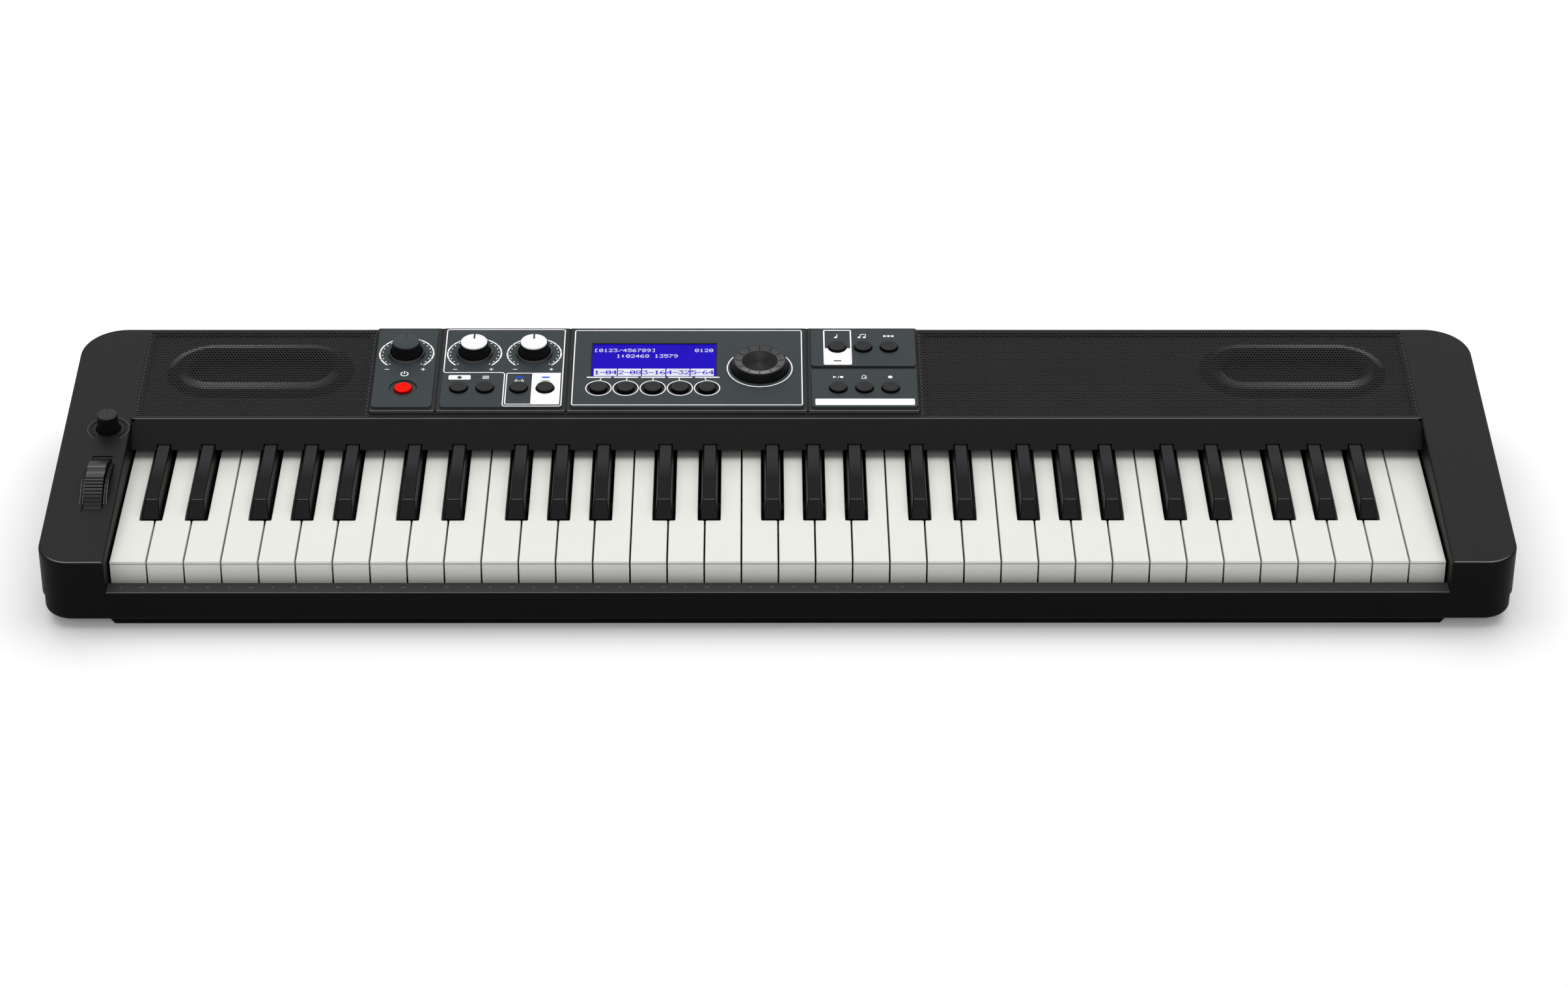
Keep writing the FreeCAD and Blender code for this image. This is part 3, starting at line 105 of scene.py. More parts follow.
# Colours are given as they look on a screen, 0 to 255
def screen(r, g, b):
    def straight(c):
        c = c / 255
        return c / 12.92 if c <= 0.04045 else ((c + 0.055) / 1.055) ** 2.4
    return straight(r), straight(g), straight(b), 1


# Materials
def newMaterial(name):
    mat = bpy.data.materials.new(name)
    mat.use_nodes = True
    return mat, mat.node_tree, mat.node_tree.nodes["Principled BSDF"]


# Sets a node's inputs to numbers or colours, or links them to the outputs of other nodes
def feed(tree, node, inputs):
    for key, value in inputs.items():
        if isinstance(value, bpy.types.NodeSocket):
            tree.links.new(value, node.inputs[key])
        else:
            node.inputs[key].default_value = value


# Adds a node with its settings and inputs, and gives one of its outputs
def addNode(tree, kind, out, inputs={}, **settings):
    node = tree.nodes.new("ShaderNode" + kind)
    for key, value in settings.items():
        setattr(node, key, value)
    feed(tree, node, inputs)
    return node.outputs[out]


def combine(tree, how, *values):
    return addNode(tree, "Math", "Value", dict(enumerate(values)), operation=how)


def objectCoords(tree, stretch=(1, 1, 1)):
    place = addNode(tree, "TexCoord", "Object")
    return addNode(tree, "Mapping", "Vector", {"Vector": place, "Scale": stretch})


def noise(tree, vector, size, detail=2.0, rough=0.5):
    inputs = {"Vector": vector, "Scale": 1 / (size * mm), "Detail": detail, "Roughness": rough}
    return addNode(tree, "TexNoise", "Fac", inputs)


def ramp(tree, fac, low, high):
    node = tree.nodes.new("ShaderNodeValToRGB")
    for stop, place, colour in zip(node.color_ramp.elements, (0.3, 0.7), (low, high)):
        stop.position, stop.color = place, colour
    tree.links.new(fac, node.inputs["Fac"])
    return node.outputs["Color"]


def mapRange(tree, value, low, high, toLow=0.0, toHigh=1.0):
    inputs = {"Value": value, "From Min": low, "From Max": high, "To Min": toLow, "To Max": toHigh}
    return addNode(tree, "MapRange", "Result", inputs)


# A roughness that follows a noise
def wander(tree, fac, low, high):
    return mapRange(tree, fac, 0.25, 0.75, low, high)


def bump(tree, height, depth):
    return addNode(tree, "Bump", "Normal", {"Strength": 1.0, "Distance": depth * mm, "Height": height})


def shade(colour, share):
    return tuple(c * share for c in colour[:3]) + (1,)


def around(tree, fac, colour, tone):
    return ramp(tree, fac, shade(colour, 1 - tone), shade(colour, 1 + tone))


# Moulded plastic: fine spark-eroded grain, a broad drift of tone, and roughness that wanders a little
# The share "side" darkens faces that stand upright: painted shade, a darker colour for the lesser light they get
def grainPlastic(name, colour, rough, grain, depth, tone, specular, stretch=(1, 1, 1), side=1.0):
    mat, tree, shader = newMaterial(name)
    fine = noise(tree, objectCoords(tree, stretch), grain, 2.0, 0.55)
    broad = noise(tree, objectCoords(tree), 45, 3.0, 0.5)
    both = combine(tree, "MULTIPLY_ADD", fine, 0.6, combine(tree, "MULTIPLY", broad, 0.4))
    tint = around(tree, both, colour, tone)
    # Painted shade: the colour is scaled down as a face turns upright
    if side < 1:
        normal = addNode(tree, "NewGeometry", "Normal")
        share = mapRange(tree, addNode(tree, "SeparateXYZ", "Z", {"Vector": normal}), 0, 1, side)
        tint = addNode(tree, "VectorMath", "Vector", {"Vector": tint, "Scale": share}, operation="SCALE")
    feed(tree, shader, {
        "Base Color": tint, "Specular IOR Level": specular,
        "Roughness": wander(tree, fine, rough - 0.06, rough + 0.06), "Normal": bump(tree, fine, depth),
    })
    return mat


# Masks for overlays: each takes a node tree and gives a share from 0 to 1
# Faces that lean one way
def leaning(way, low, high):
    def mask(tree):
        normal = addNode(tree, "NewGeometry", "Normal")
        dot = addNode(tree, "VectorMath", "Value", {0: normal, 1: way}, operation="DOT_PRODUCT")
        return mapRange(tree, dot, low, high)
    return mask


# A share that grows along one of the piece's own axes, between two places in mm
def along(axis, low, high):
    def mask(tree):
        place = addNode(tree, "SeparateXYZ", axis, {"Vector": objectCoords(tree)})
        return mapRange(tree, place, low * mm, high * mm)
    return mask


# Lays a colour over a material where all of its masks agree
def overlay(mat, colour, *masks):
    tree = mat.node_tree
    base = tree.nodes["Principled BSDF"].inputs["Base Color"]
    share = masks[0](tree)
    for mask in masks[1:]:
        share = combine(tree, "MULTIPLY", share, mask(tree))
    inputs = {"Factor": share, "A": base.links[0].from_socket, "B": colour}
    tree.links.new(addNode(tree, "Mix", "Result", inputs, data_type="RGBA"), base)


# Satin lacquer with painted light: a lighter colour on the faces that lean one way
def leaningTone(name, dark, light, way, low, high, rough=0.4, specular=0.15):
    mat = grainPlastic(name, dark, rough, 0.3, 0.004, 0.1, specular)
    overlay(mat, light, leaning(way, low, high))
    return mat


# Brushed metal: streaks across one axis
def streakMetal(name, colour, rough, grain, stretch, tone=0.2):
    mat, tree, shader = newMaterial(name)
    streak = noise(tree, objectCoords(tree, stretch), grain, 3.0, 0.6)
    feed(tree, shader, {
        "Base Color": around(tree, streak, colour, tone), "Metallic": 1.0,
        "Roughness": wander(tree, streak, rough - 0.08, rough + 0.1), "Normal": bump(tree, streak, 0.006),
    })
    return mat


# Parts of the display and the small lights, which give light of their own
def glowing(name, colour, strength):
    mat, tree, shader = newMaterial(name)
    drift = noise(tree, objectCoords(tree), 12, 2.0)
    feed(tree, shader, {
        "Emission Color": around(tree, drift, colour, 0.06), "Emission Strength": strength,
        "Base Color": ramp(tree, drift, shade(colour, 0.009), shade(colour, 0.01)),
        "Roughness": 0.4, "Specular IOR Level": 0.012,
    })
    return mat


# A face turned on a lathe: fine rings about its own middle, which spread highlights into a fan
def spunMetal(name, colour, rough, middle):
    mat, tree, shader = newMaterial(name)
    place = addNode(tree, "TexCoord", "Object")
    away = addNode(tree, "VectorMath", "Value", {0: place, 1: middle}, operation="DISTANCE")
    rings = {"W": away, "Scale": 1 / (0.25 * mm), "Detail": 3}
    fac = addNode(tree, "TexNoise", "Fac", rings, noise_dimensions="1D")
    feed(tree, shader, {
        "Base Color": around(tree, fac, colour, 0.2), "Metallic": 1, "Anisotropic": 0.8,
        "Roughness": wander(tree, fac, rough - 0.05, rough + 0.08), "Normal": bump(tree, fac, 0.004),
        "Tangent": addNode(tree, "Tangent", "Tangent", direction_type="RADIAL", axis="Z"),
    })
    return mat


# Mesh tools
def onCircle(x, s, r, a):
    return x + r * math.cos(a), s + r * math.sin(a)


# Faces between rows of as many points each
def loft(rows, count, closed=True):
    sides = [(i, (i + 1) % count) for i in range(count if closed else count - 1)]
    return [
        [k * count + i, k * count + j, (k + 1) * count + j, (k + 1) * count + i]
        for k in range(rows - 1) for i, j in sides
    ]


# Points are in mm, in the panel's own axes unless another matrix is given
def makePiece(name, points, faces, material, body="case", matrix=panelMatrix, smoothAngle=35):
    mesh = bpy.data.meshes.new(name)
    turn = np.array(matrix)
    flat = np.asarray(points, float) @ turn[:3, :3].T + turn[:3, 3]
    mesh.from_pydata(flat.tolist(), [], faces)
    mesh.validate()
    if smoothAngle:
        mesh.shade_smooth()
        mesh.set_sharp_from_angle(angle=math.radians(smoothAngle))
    mesh.materials.append(material)
    piece = bpy.data.objects.new(name, mesh)
    bpy.context.scene.collection.objects.link(piece)
    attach(piece, body)
    return piece


# The corners of a straight stroke from point to point
def strokeCorners(a, b, width):
    run = Vector((b[0] - a[0], b[1] - a[1])).normalized() * (width / 2)
    side = Vector((-run.y, run.x))
    return [Vector(a) - side, Vector(b) - side, Vector(b) + side, Vector(a) + side]


# Several closed shapes gathered into one mesh; flat ones lie between the two heights
class Shapes:
    def __init__(self, h0=0.0, h1=0.0):
        self.points, self.faces = [], []
        self.heights = (h0, h1)

    def add(self, points, faces):
        first = len(self.points)
        self.points += [tuple(p) for p in points]
        self.faces += [[first + i for i in f] for f in faces]

    # Between a lower and an upper outline of as many points, anticlockwise
    def solid(self, low, high):
        n = len(low)
        self.add(low + high, [list(range(n, 2 * n)), list(range(n - 1, -1, -1))] + loft(2, n))

    # A flat closed shape from its outline
    def prism(self, outline):
        self.solid(*([(x, s, h) for x, s in outline] for h in self.heights))

    # A flat band between an outer and an inner line of as many points
    def band(self, outer, inner, closed=True):
        n = len(outer)
        points = [(x, s, h) for h in self.heights for line in (outer, inner) for x, s in line]
        low, lowIn, top, topIn = 0, n, 2 * n, 3 * n
        faces = []
        for i in range(n if closed else n - 1):
            j = (i + 1) % n
            faces += [
                [top + i, top + j, topIn + j, topIn + i],
                [lowIn + i, lowIn + j, low + j, low + i],
                [low + i, low + j, top + j, top + i],
                [topIn + i, topIn + j, lowIn + j, lowIn + i],
            ]
        if not closed:
            e = n - 1
            faces += [[low, top, topIn, lowIn], [low + e, lowIn + e, topIn + e, top + e]]
        self.add(points, faces)

    # A ring or arc; angles run anticlockwise from +x, in degrees
    def arc(self, x, s, outer, inner, start=0, end=360, steps=48):
        closed = end - start >= 360
        count = steps if closed else steps + 1
        turns = [math.radians(start + (end - start) * i / steps) for i in range(count)]
        lines = [[onCircle(x, s, r, a) for a in turns] for r in (outer, inner)]
        self.band(*lines, closed)

    def disc(self, x, s, radius, steps):
        self.prism([onCircle(x, s, radius, 2 * math.pi * i / steps) for i in range(steps)])

    def bar(self, x0, x1, s0, s1):
        self.prism([(x0, s0), (x1, s0), (x1, s1), (x0, s1)])

    def stroke(self, a, b, width):
        self.prism([(c.x, c.y) for c in strokeCorners(a, b, width)])

    # A stroke with a top that slopes from end to end
    def slopingStroke(self, a, b, width, ha, hb, thick):
        ends = list(zip(strokeCorners(a, b, width), (ha, hb, hb, ha)))
        self.solid([(c.x, c.y, h - thick) for c, h in ends], [(c.x, c.y, h) for c, h in ends])

    # A frame line that follows rounded corners
    def frame(self, corners, width):
        self.band(roundedPath(corners, 0), roundedPath(corners, width))

    # A box with rounded corners
    def label(self, x0, x1, s0, s1, radius):
        self.prism(roundedPath(boxCorners(x0, x1, s0, s1, radius), 0))

    def build(self, name, material, body="case", matrix=panelMatrix, smoothAngle=35):
        return makePiece(name, self.points, self.faces, material, body, matrix, smoothAngle)


# The line round corners (x, s, radius), given anticlockwise, moved inwards by an inset
def roundedPath(corners, inset, steps=6):
    path = []
    n = len(corners)
    for i, (x, s, radius) in enumerate(corners):
        here = Vector((x, s))
        back = (Vector(corners[i - 1][:2]) - here).normalized()
        ahead = (Vector(corners[(i + 1) % n][:2]) - here).normalized()
        inward = 1 if back.x * ahead.y - back.y * ahead.x < 0 else -1
        middle = here + (back + ahead).normalized() * (radius / math.sin(back.angle(ahead) / 2))
        first = here + back * (radius / math.tan(back.angle(ahead) / 2))
        a0 = math.atan2(first.y - middle.y, first.x - middle.x)
        sweep = math.pi - back.angle(ahead)
        reach = max(radius - inset * inward, 0.01)
        for k in range(steps + 1):
            path.append(onCircle(*middle, reach, a0 + inward * sweep * k / steps))
    return path


def boxCorners(x0, x1, s0, s1, radius):
    return [(x0, s0, radius), (x1, s0, radius), (x1, s1, radius), (x0, s1, radius)]


# A turned shape from rings (radius, height and, for flutes, their depth); flutes are waves round the ring
def turned(x, s, rings, steps, flutes=0):
    points = []
    for radius, height, *wave in rings:
        for i in range(steps):
            a = 2 * math.pi * i / steps
            r = radius - (wave[0] * (0.5 + 0.5 * math.cos(a * flutes)) if wave else 0)
            points.append((*onCircle(x, s, r, a), height))
    last = (len(rings) - 1) * steps
    faces = loft(len(rings), steps) + [list(range(steps - 1, -1, -1)), [last + i for i in range(steps)]]
    return points, faces


def roundOver(radius, height, edge, steps=5):
    return [onCircle(radius - edge, height - edge, edge, math.pi / 2 * k / steps) for k in range(steps + 1)]


# A six-sided hole in every cell of a staggered grid, with a plain rim out to the sheet's rounded outline
def perforated(box, look):
    x0, x1, s0, s1, top = box
    wide, deep = x1 - x0 - 2 * look["rim"], s1 - s0 - 2 * look["rim"]
    count = round(wide / look["pitch"])
    rows = round(deep / look["row"]) // 2 * 2 - 1
    p, q = wide / count, deep / (rows + 1 / 3)  # the end rows reach two thirds of a row past their middles
    e = q / 3
    left = (x0 + x1 - count * p) / 2
    first = (s0 + s1 - (rows - 1) * q) / 2
    low, high, right = first - (q - e), first + (rows - 1) * q + q - e, left + count * p
    corner = np.array([(p / 2, -e), (p / 2, e), (0, q - e), (-p / 2, e), (-p / 2, -e), (0, e - q)])
    hole = corner / np.linalg.norm(corner, axis=1)[:, None] * look["hole"]
    middles = np.array([
        (left + p / 2 + (k % 2) * p / 2 + i * p, first + k * q) for k in range(rows) for i in range(count - k % 2)
    ])
    flat = np.concatenate([middles[:, None] + corner, middles[:, None] + hole], axis=1).reshape(-1, 2)
    cells = np.arange(len(middles))[:, None] * 12
    i, j = np.arange(6), (np.arange(6) + 1) % 6
    ring = np.stack([i, j, j + 6, i + 6], axis=1)
    quads = (cells[:, :, None] + ring[None]).reshape(-1, 4)
    walls = (cells[:, :, None] + np.stack([i + 6, j + 6], axis=1)[None]).reshape(-1, 2)
    extra, patches = [], []

    def patch(*corners):
        start = len(flat) + len(extra)
        extra.extend(corners)
        patches.append(list(range(start, start + len(corners))))

    for k in range(1, rows, 2):  # the ends of the shorter rows
        s = first + k * q
        patch((left, s - q + e), (left + p / 2, s - e), (left + p / 2, s + e), (left, s + q - e))
        patch((right, s + q - e), (right - p / 2, s + e), (right - p / 2, s - e), (right, s - q + e))
    for edge, turn in ((low, 1), (high, -1)):  # between the points of the first and last rows
        dip = edge + turn * (q - 2 * e)
        for n in range(count + 1):
            x = left + n * p
            a, b = max(x - p / 2, left), min(x + p / 2, right)
            patch(*((a, edge), (b, edge), (x, dip))[::turn])
    outline = roundedPath(boxCorners(x0, x1, s0, s1, look["corner"]), 0)
    inner = [(left, low), (right, low), (right, high), (left, high)]
    total = len(outline)
    pairs = [(n, (n + 1) % total) for n in range(total)]
    for n, m in pairs:
        here, there = inner[n * 4 // total], inner[m * 4 // total]
        patch(outline[n], outline[m], *((here,) if here == there else (there, here)))
    flat = np.concatenate([flat, np.array(extra)])
    size = len(flat)
    faces = quads.tolist() + patches
    faces += [[v + size for v in face[::-1]] for face in faces]
    faces += [[a, b, b + size, a + size] for a, b in walls.tolist()]
    upper, lower = 2 * size, 2 * size + total  # the outer edge
    faces += [[upper + n, lower + n, lower + m, upper + m] for n, m in pairs]
    levels = top, top - look["thick"]
    points = [np.c_[at, np.full(len(at), h)] for at in (flat, np.array(outline)) for h in levels]
    return np.concatenate(points), faces


tiny, endless = 1e-9, 1e9


# Rays from a point to the sides of a box, with one to each corner: their angles, and where they end
def raysToBox(x, s, x0, x1, s0, s1, steps):
    turns = {2 * math.pi * i / steps for i in range(steps)}
    turns |= {math.atan2(cs - s, cx - x) % (2 * math.pi) for cx in (x0, x1) for cs in (s0, s1)}
    turns = sorted(turns)
    ends = []
    for a in turns:
        dx, ds = math.cos(a), math.sin(a)
        far = min(
            ((x1 if dx > 0 else x0) - x) / dx if abs(dx) > tiny else endless,
            ((s1 if ds > 0 else s0) - s) / ds if abs(ds) > tiny else endless,
        )
        ends.append((x + dx * far, s + ds * far))
    return turns, ends


# A flat box with a round hole
def boxWithHole(shapes, x0, x1, s0, s1, x, s, radius):
    turns, outer = raysToBox(x, s, x0, x1, s0, s1, 48)
    shapes.band(outer, [onCircle(x, s, radius, a) for a in turns])


# Heights in mm where painted light and shade begin and end on the case and the white keys, and how far back the painted
# reflection on the black keys' tops runs
tones = {
    "lip": (28.4, 28.2), "aboveSeam": (20.8, 20.7), "belowSeam": (19.5, 19.6), "frontTop": (39.9, 39.7),
    "frontLine": (38.9, 39.2), "blackRear": (-28, 16),
}
# Each plastic has a name, colour, roughness, grain and its depth in mm, spread of tone and specular level
# Painted highlights are laid along rounded edges that face this way
edgeHighlightWay = Vector((0, -0.43, 0.903))  # the way that rounded front edges face between front and top
# Case plastic, with painted shade on its upright faces (side)
caseBlack = grainPlastic("case_black", (0.0098, 0.0098, 0.01, 1), 0.48, 0.4, 0.02, 0.1, 0.06, side=0.2)
# Painted light: faces that slope like the fascia get a lighter tone, for the light the slope catches
overlay(caseBlack, screen(31, 31, 32), leaning((0, -0.73, 0.68), 0.97, 0.99))
# Painted highlight along the case's rounded front top edges
overlay(caseBlack, screen(122, 122, 124), leaning(edgeHighlightWay, 0.955, 0.99))
# Painted light: flat tops below the lip height, the lip's top, are made lighter
overlay(caseBlack, screen(57, 57, 58), leaning((0, 0, 1), 0.97, 0.99), along("Z", *tones["lip"]))
# Painted shade: upright faces below the seam height are darkened to near black
overlay(caseBlack, screen(2, 2, 2), leaning((0, 0, 1), 0.3, 0.1), along("Z", *tones["aboveSeam"]))
# Lower case plastic, with painted shade on its upright faces (side)
lowerBlack = grainPlastic("lower_black", (0.008, 0.008, 0.0082, 1), 0.55, 0.4, 0.025, 0.12, 0.05, side=0.5)
# Painted shade: the lower case is darkened to near black above the seam height
overlay(lowerBlack, screen(2, 2, 2), along("Z", *tones["belowSeam"]))
rubberBlack = grainPlastic("rubber_black", (0.008, 0.008, 0.008, 1), 0.75, 0.5, 0.03, 0.15, 0.1)
screwBlack = streakMetal("screw_black", (0.06, 0.06, 0.062, 1), 0.38, 0.5, (1, 1, 4))
grillePaint = grainPlastic("grille_paint", (0.015, 0.015, 0.0152, 1), 0.4, 0.3, 0.006, 0.15, 0.075)
clothGrey = grainPlastic("cloth_grey", (0.036, 0.036, 0.036, 1), 0.9, 0.4, 0.05, 0.3, 0.05)
innerBlack = grainPlastic("inner_black", (0.005, 0.005, 0.005, 1), 0.6, 0.6, 0.02, 0.2, 0.1)
# Panel base plastic, with painted shade on its upright faces (side)
baseBlack = grainPlastic("base_black", (0.003, 0.003, 0.0031, 1), 0.46, 0.3, 0.01, 0.1, 0.03, side=0.5)
# Painted light: the base's front faces are made lighter
overlay(baseBlack, screen(80, 80, 81), leaning((0, -1, 0), 0.8, 0.95))
# Painted highlight along the base's rounded front edge
overlay(baseBlack, screen(140, 140, 142), leaning(edgeHighlightWay, 0.93, 0.98))
boardGreen = grainPlastic("board_green", (0.02, 0.12, 0.05, 1), 0.4, 1.2, 0.02, 0.35, 0.4)
chassisGrey = grainPlastic("chassis_grey", (0.008, 0.008, 0.008, 1), 0.6, 0.5, 0.02, 0.2, 0.1)
feltRed = grainPlastic("felt_red", (0.16, 0.015, 0.015, 1), 0.95, 0.25, 0.12, 0.5, 0.05)
plateGrey = grainPlastic("plate_grey", screen(58, 64, 67), 0.5, 0.3, 0.008, 0.05, 0.045)
keyWhite = grainPlastic("key_white", screen(226, 226, 220), 0.34, 0.8, 0.004, 0.015, 0.3)
# Painted light: the white keys' front faces are made lighter than their tops
overlay(keyWhite, screen(250, 250, 244), leaning((0, -1, 0), 0.8, 0.95))
# Painted shadow: a darker band on the key fronts just under the overhanging top
keyFront = leaning((0, -1, 0), 0.9, 0.97)
overlay(keyWhite, screen(150, 150, 146), keyFront, along("Z", *tones["frontTop"]), along("Z", *tones["frontLine"]))
keyBlack = grainPlastic("key_black", (0.0025, 0.0025, 0.0027, 1), 0.34, 0.3, 0.006, 0.12, 0.025, (1, 0.15, 1))
# Painted reflection: the black keys' tops grow lighter towards the rear
overlay(keyBlack, screen(58, 58, 61), leaning((0, 0, 1), 0.96, 0.99), along("Y", *tones["blackRear"]))
# Painted light: the black keys' front slopes get a lighter tone
overlay(keyBlack, screen(34, 34, 35), leaning((0, -0.62, 0.78), 0.93, 0.985))
# Painted highlight along the rounded edge between the black keys' tops and slopes
overlay(keyBlack, screen(125, 125, 128), leaning((0, -0.34, 0.94), 0.982, 0.996))
# Control plastic, with painted shade on its upright faces (side)
controlBlack = grainPlastic("control_black", (0.009, 0.009, 0.0092, 1), 0.42, 0.3, 0.008, 0.12, 0.12, side=0.5)
capGrey = grainPlastic("cap_grey", screen(56, 62, 65), 0.42, 0.3, 0.005, 0.06, 0.06)
capWhite = grainPlastic("cap_white", screen(243, 243, 243), 0.4, 0.4, 0.004, 0.02, 0.2)
# Button plastics, with painted shade on their upright sides (side)
buttonGrey = grainPlastic("button_grey", screen(45, 45, 45), 0.5, 0.25, 0.008, 0.08, 0.045, side=0.1)
buttonRed = grainPlastic("button_red", screen(255, 18, 0), 0.45, 0.4, 0.006, 0.04, 0.02, side=0.3)
ringGrey = grainPlastic("ring_grey", screen(56, 56, 60), 0.5, 0.3, 0.008, 0.08, 0.06)
# Painted highlight: a light arc on the collar faces that lean to the front
collarBlack = leaningTone("collar_black", screen(20, 20, 20), screen(96, 96, 96), -panelRun, 0.35, 0.95)
wheelBlack = grainPlastic("wheel_black", (0.0035, 0.0035, 0.0036, 1), 0.26, 0.3, 0.006, 0.12, 0.32)
# Painted highlight on the ridge faces that lean to the front and up
ridgeBlack = leaningTone("ridge_black", screen(12, 12, 12), screen(46, 46, 47), (0, -0.5, 0.866), 0.86, 0.99, 0.5, 0.04)
# Painted reflection: the dial band is lighter where its faces lean to the rear
bandGrey = leaningTone("band_grey", screen(46, 46, 47), screen(112, 112, 114), panelRun, 0.12, 0.2, 0.3, 0.2)
printWhite = grainPlastic("print_white", screen(252, 252, 252), 0.5, 0.2, 0.003, 0.03, 0.2)
# Dim print for the lip ticks, also used for a painted highlight round the modulation knob
printDimAndHighlight = grainPlastic("print_dim_and_highlight", screen(92, 92, 92), 0.5, 0.2, 0.003, 0.05, 0.1)
printDark = grainPlastic("print_dark", screen(38, 42, 44), 0.5, 0.2, 0.003, 0.05, 0.1)
discMiddle = panelMatrix @ Vector((*turnAt("data_dial_turn"), 9.0))
spunDark = spunMetal("spun_dark", (0.003, 0.003, 0.0031, 1), 0.42, discMiddle)
nickel = streakMetal("nickel", (0.55, 0.54, 0.52, 1), 0.25, 0.6, (1, 1, 5), 0.12)
displayBlue = glowing("display_blue", screen(31, 6, 190), 1.0)
pixelWhite = glowing("pixel_white", screen(236, 238, 255), 0.95)
ledBlue = glowing("led_blue", screen(34, 84, 222), 0.95)
print("materials made:", len(bpy.data.materials))

# Materials of the pieces that are shown as they were modelled
cadLooks = {
    "upper_case": caseBlack, "lower_case": lowerBlack, "rubber_feet": rubberBlack, "case_screws": screwBlack,
    "speaker_drivers": innerBlack, "panel_base": baseBlack, "lcd_module": innerBlack, "control_board": boardGreen,
    "key_chassis": chassisGrey, "key_contact_board": boardGreen, "key_contact_rubber": rubberBlack,
    "key_stop_felt": feltRed, "bender_bracket": innerBlack, "socket_unit": innerBlack, "modulation_knob": controlBlack,
}
for part, look in (("white_key", keyWhite), ("black_key", keyBlack), ("_plate", plateGrey)):
    cadLooks.update({name: look for name in nodes if part in name})
for name, look in cadLooks.items():
    nodes[name].data.materials.clear()
    nodes[name].data.materials.append(look)
print("modelled pieces dressed:", len(cadLooks))

# Speaker grilles: perforated sheets
grille = {"pitch": 2.03, "row": 2.05, "hole": 1.0, "rim": 0.4, "corner": 0.9, "thick": 0.35}
for side in ("left", "right"):
    node = "speaker_grille_" + side
    points, faces = perforated(panelBox(node), grille)
    halves = {"": faces}
    if side == "right":  # one half each, to keep each mesh light
        middle = (points[:, 0].min() + points[:, 0].max()) / 2
        halves = {"_inner": [], "_outer": []}
        for face in faces:
            halves["_inner" if points[face[0], 0] < middle else "_outer"].append(face)
    for tail, part in halves.items():
        used = np.unique(np.concatenate([np.array(f) for f in part]))
        order = np.zeros(len(points), int)
        order[used] = np.arange(len(used))
        sheet = makePiece("grille_" + side + tail, points[used], [order[f].tolist() for f in part], grillePaint)
        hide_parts(node)


# An oval with straight sides, as rays from its middle
def ovalReach(a, wide, deep):
    dx, ds = abs(math.cos(a)), abs(math.sin(a))
    straight = deep / ds if ds > tiny else endless
    c = wide - deep
    if dx * straight <= c:
        return straight
    return c * dx + math.sqrt(max(deep * deep - c * c * ds * ds, 0))


# Under each sheet: dark cloth round a shallow dish that leads into the speaker's mouth
# The dish's profile has rows of growth past the oval, height, and shift to the rear
bowl = {
    "wide": 56.0, "deep": 24.5, "shift": -4.0, "steps": 160, "inset": 3.4, "cloth": -2.9, "clothThick": 0.5,
    "lap": 0.3, "ledge": -0.65, "ledgeThick": 0.2, "ledgeEdge": 0.4, "ledgeLap": 0.2, "litFrom": 75, "litTo": 10,
    "profile": (
        (6.5, -3.0, 0), (5.0, -2.6, 0), (3.0, -1.8, 0), (1.4, -1.3, 0), (0.0, -1.15, 0), (-1.5, -1.25, 0.5),
        (-3.5, -1.6, 1.4), (-5.5, -2.1, 2.4), (-7.5, -2.7, 3.4), (-9.0, -3.6, 4.0), (-10.0, -5.5, 4.2),
        (-11.0, -9.0, 4.3),
    ),
}


# A bowl's lacquer with painted light: lighter on the faces that lean back, most of all towards the keyboard's outer end
def bowlGrey(side, sign, x):
    mat = grainPlastic("bowl_grey_" + side, (0.004, 0.004, 0.004, 1), 0.5, 0.3, 0.004, 0.1, 0.04)
    overlay(
        mat, (0.4, 0.4, 0.4, 1), leaning(panelRun, 0.02, 0.24), leaning(panelRun, 0.6, 0.25),
        leaning((-sign, 0, 0), 0.25, 0.05), along("X", x - sign * bowl["litFrom"], x + sign * bowl["litTo"]),
    )
    return mat


drivers = np.array([toPanel(v.co) for v in nodes["speaker_drivers"].data.vertices])
for side, sign in (("left", -1), ("right", 1)):
    x0, x1, s0, s1, top = panelBox("speaker_grille_" + side)
    own = drivers[drivers[:, 0] * sign > 0]
    x, s = (own.min(0) + own.max(0))[:2] / 2
    s += bowl["shift"]
    inset, rim, lap = bowl["inset"], bowl["ledgeEdge"], bowl["ledgeLap"]
    left, right, front, back = x0 + inset, x1 - inset, s0 + inset, s1 - inset
    turns, edge = raysToBox(x, s, left, right, front, back, bowl["steps"])

    def ovalLine(grow, shift=0):
        wide, deep = bowl["wide"] + grow, bowl["deep"] + grow
        return [onCircle(x, s + shift, ovalReach(a, wide, deep), a) for a in turns]

    cloth = Shapes(bowl["cloth"] - bowl["clothThick"], bowl["cloth"])
    cloth.band(edge, ovalLine(bowl["profile"][0][0] - bowl["lap"]))
    cloth.heights = (bowl["ledge"] - bowl["ledgeThick"], bowl["ledge"])  # a ledge close under the sheet
    cloth.bar(x0 + rim, left + lap, s0 + rim, back)
    cloth.bar(right - lap, x1 - rim, s0 + rim, back)
    cloth.bar(left + lap, right - lap, s0 + rim, front + lap)
    cloth.build("grille_cloth_" + side, clothGrey)
    rows, count = len(bowl["profile"]), len(turns)
    points = [(px, ps, h) for grow, h, shift in bowl["profile"] for px, ps in ovalLine(grow, shift)]
    faces = loft(rows, count) + [[(rows - 1) * count + n for n in range(count)]]
    makePiece("speaker_bowl_" + side, points, faces, bowlGrey(side, sign, x), smoothAngle=60)
print("grilles made")

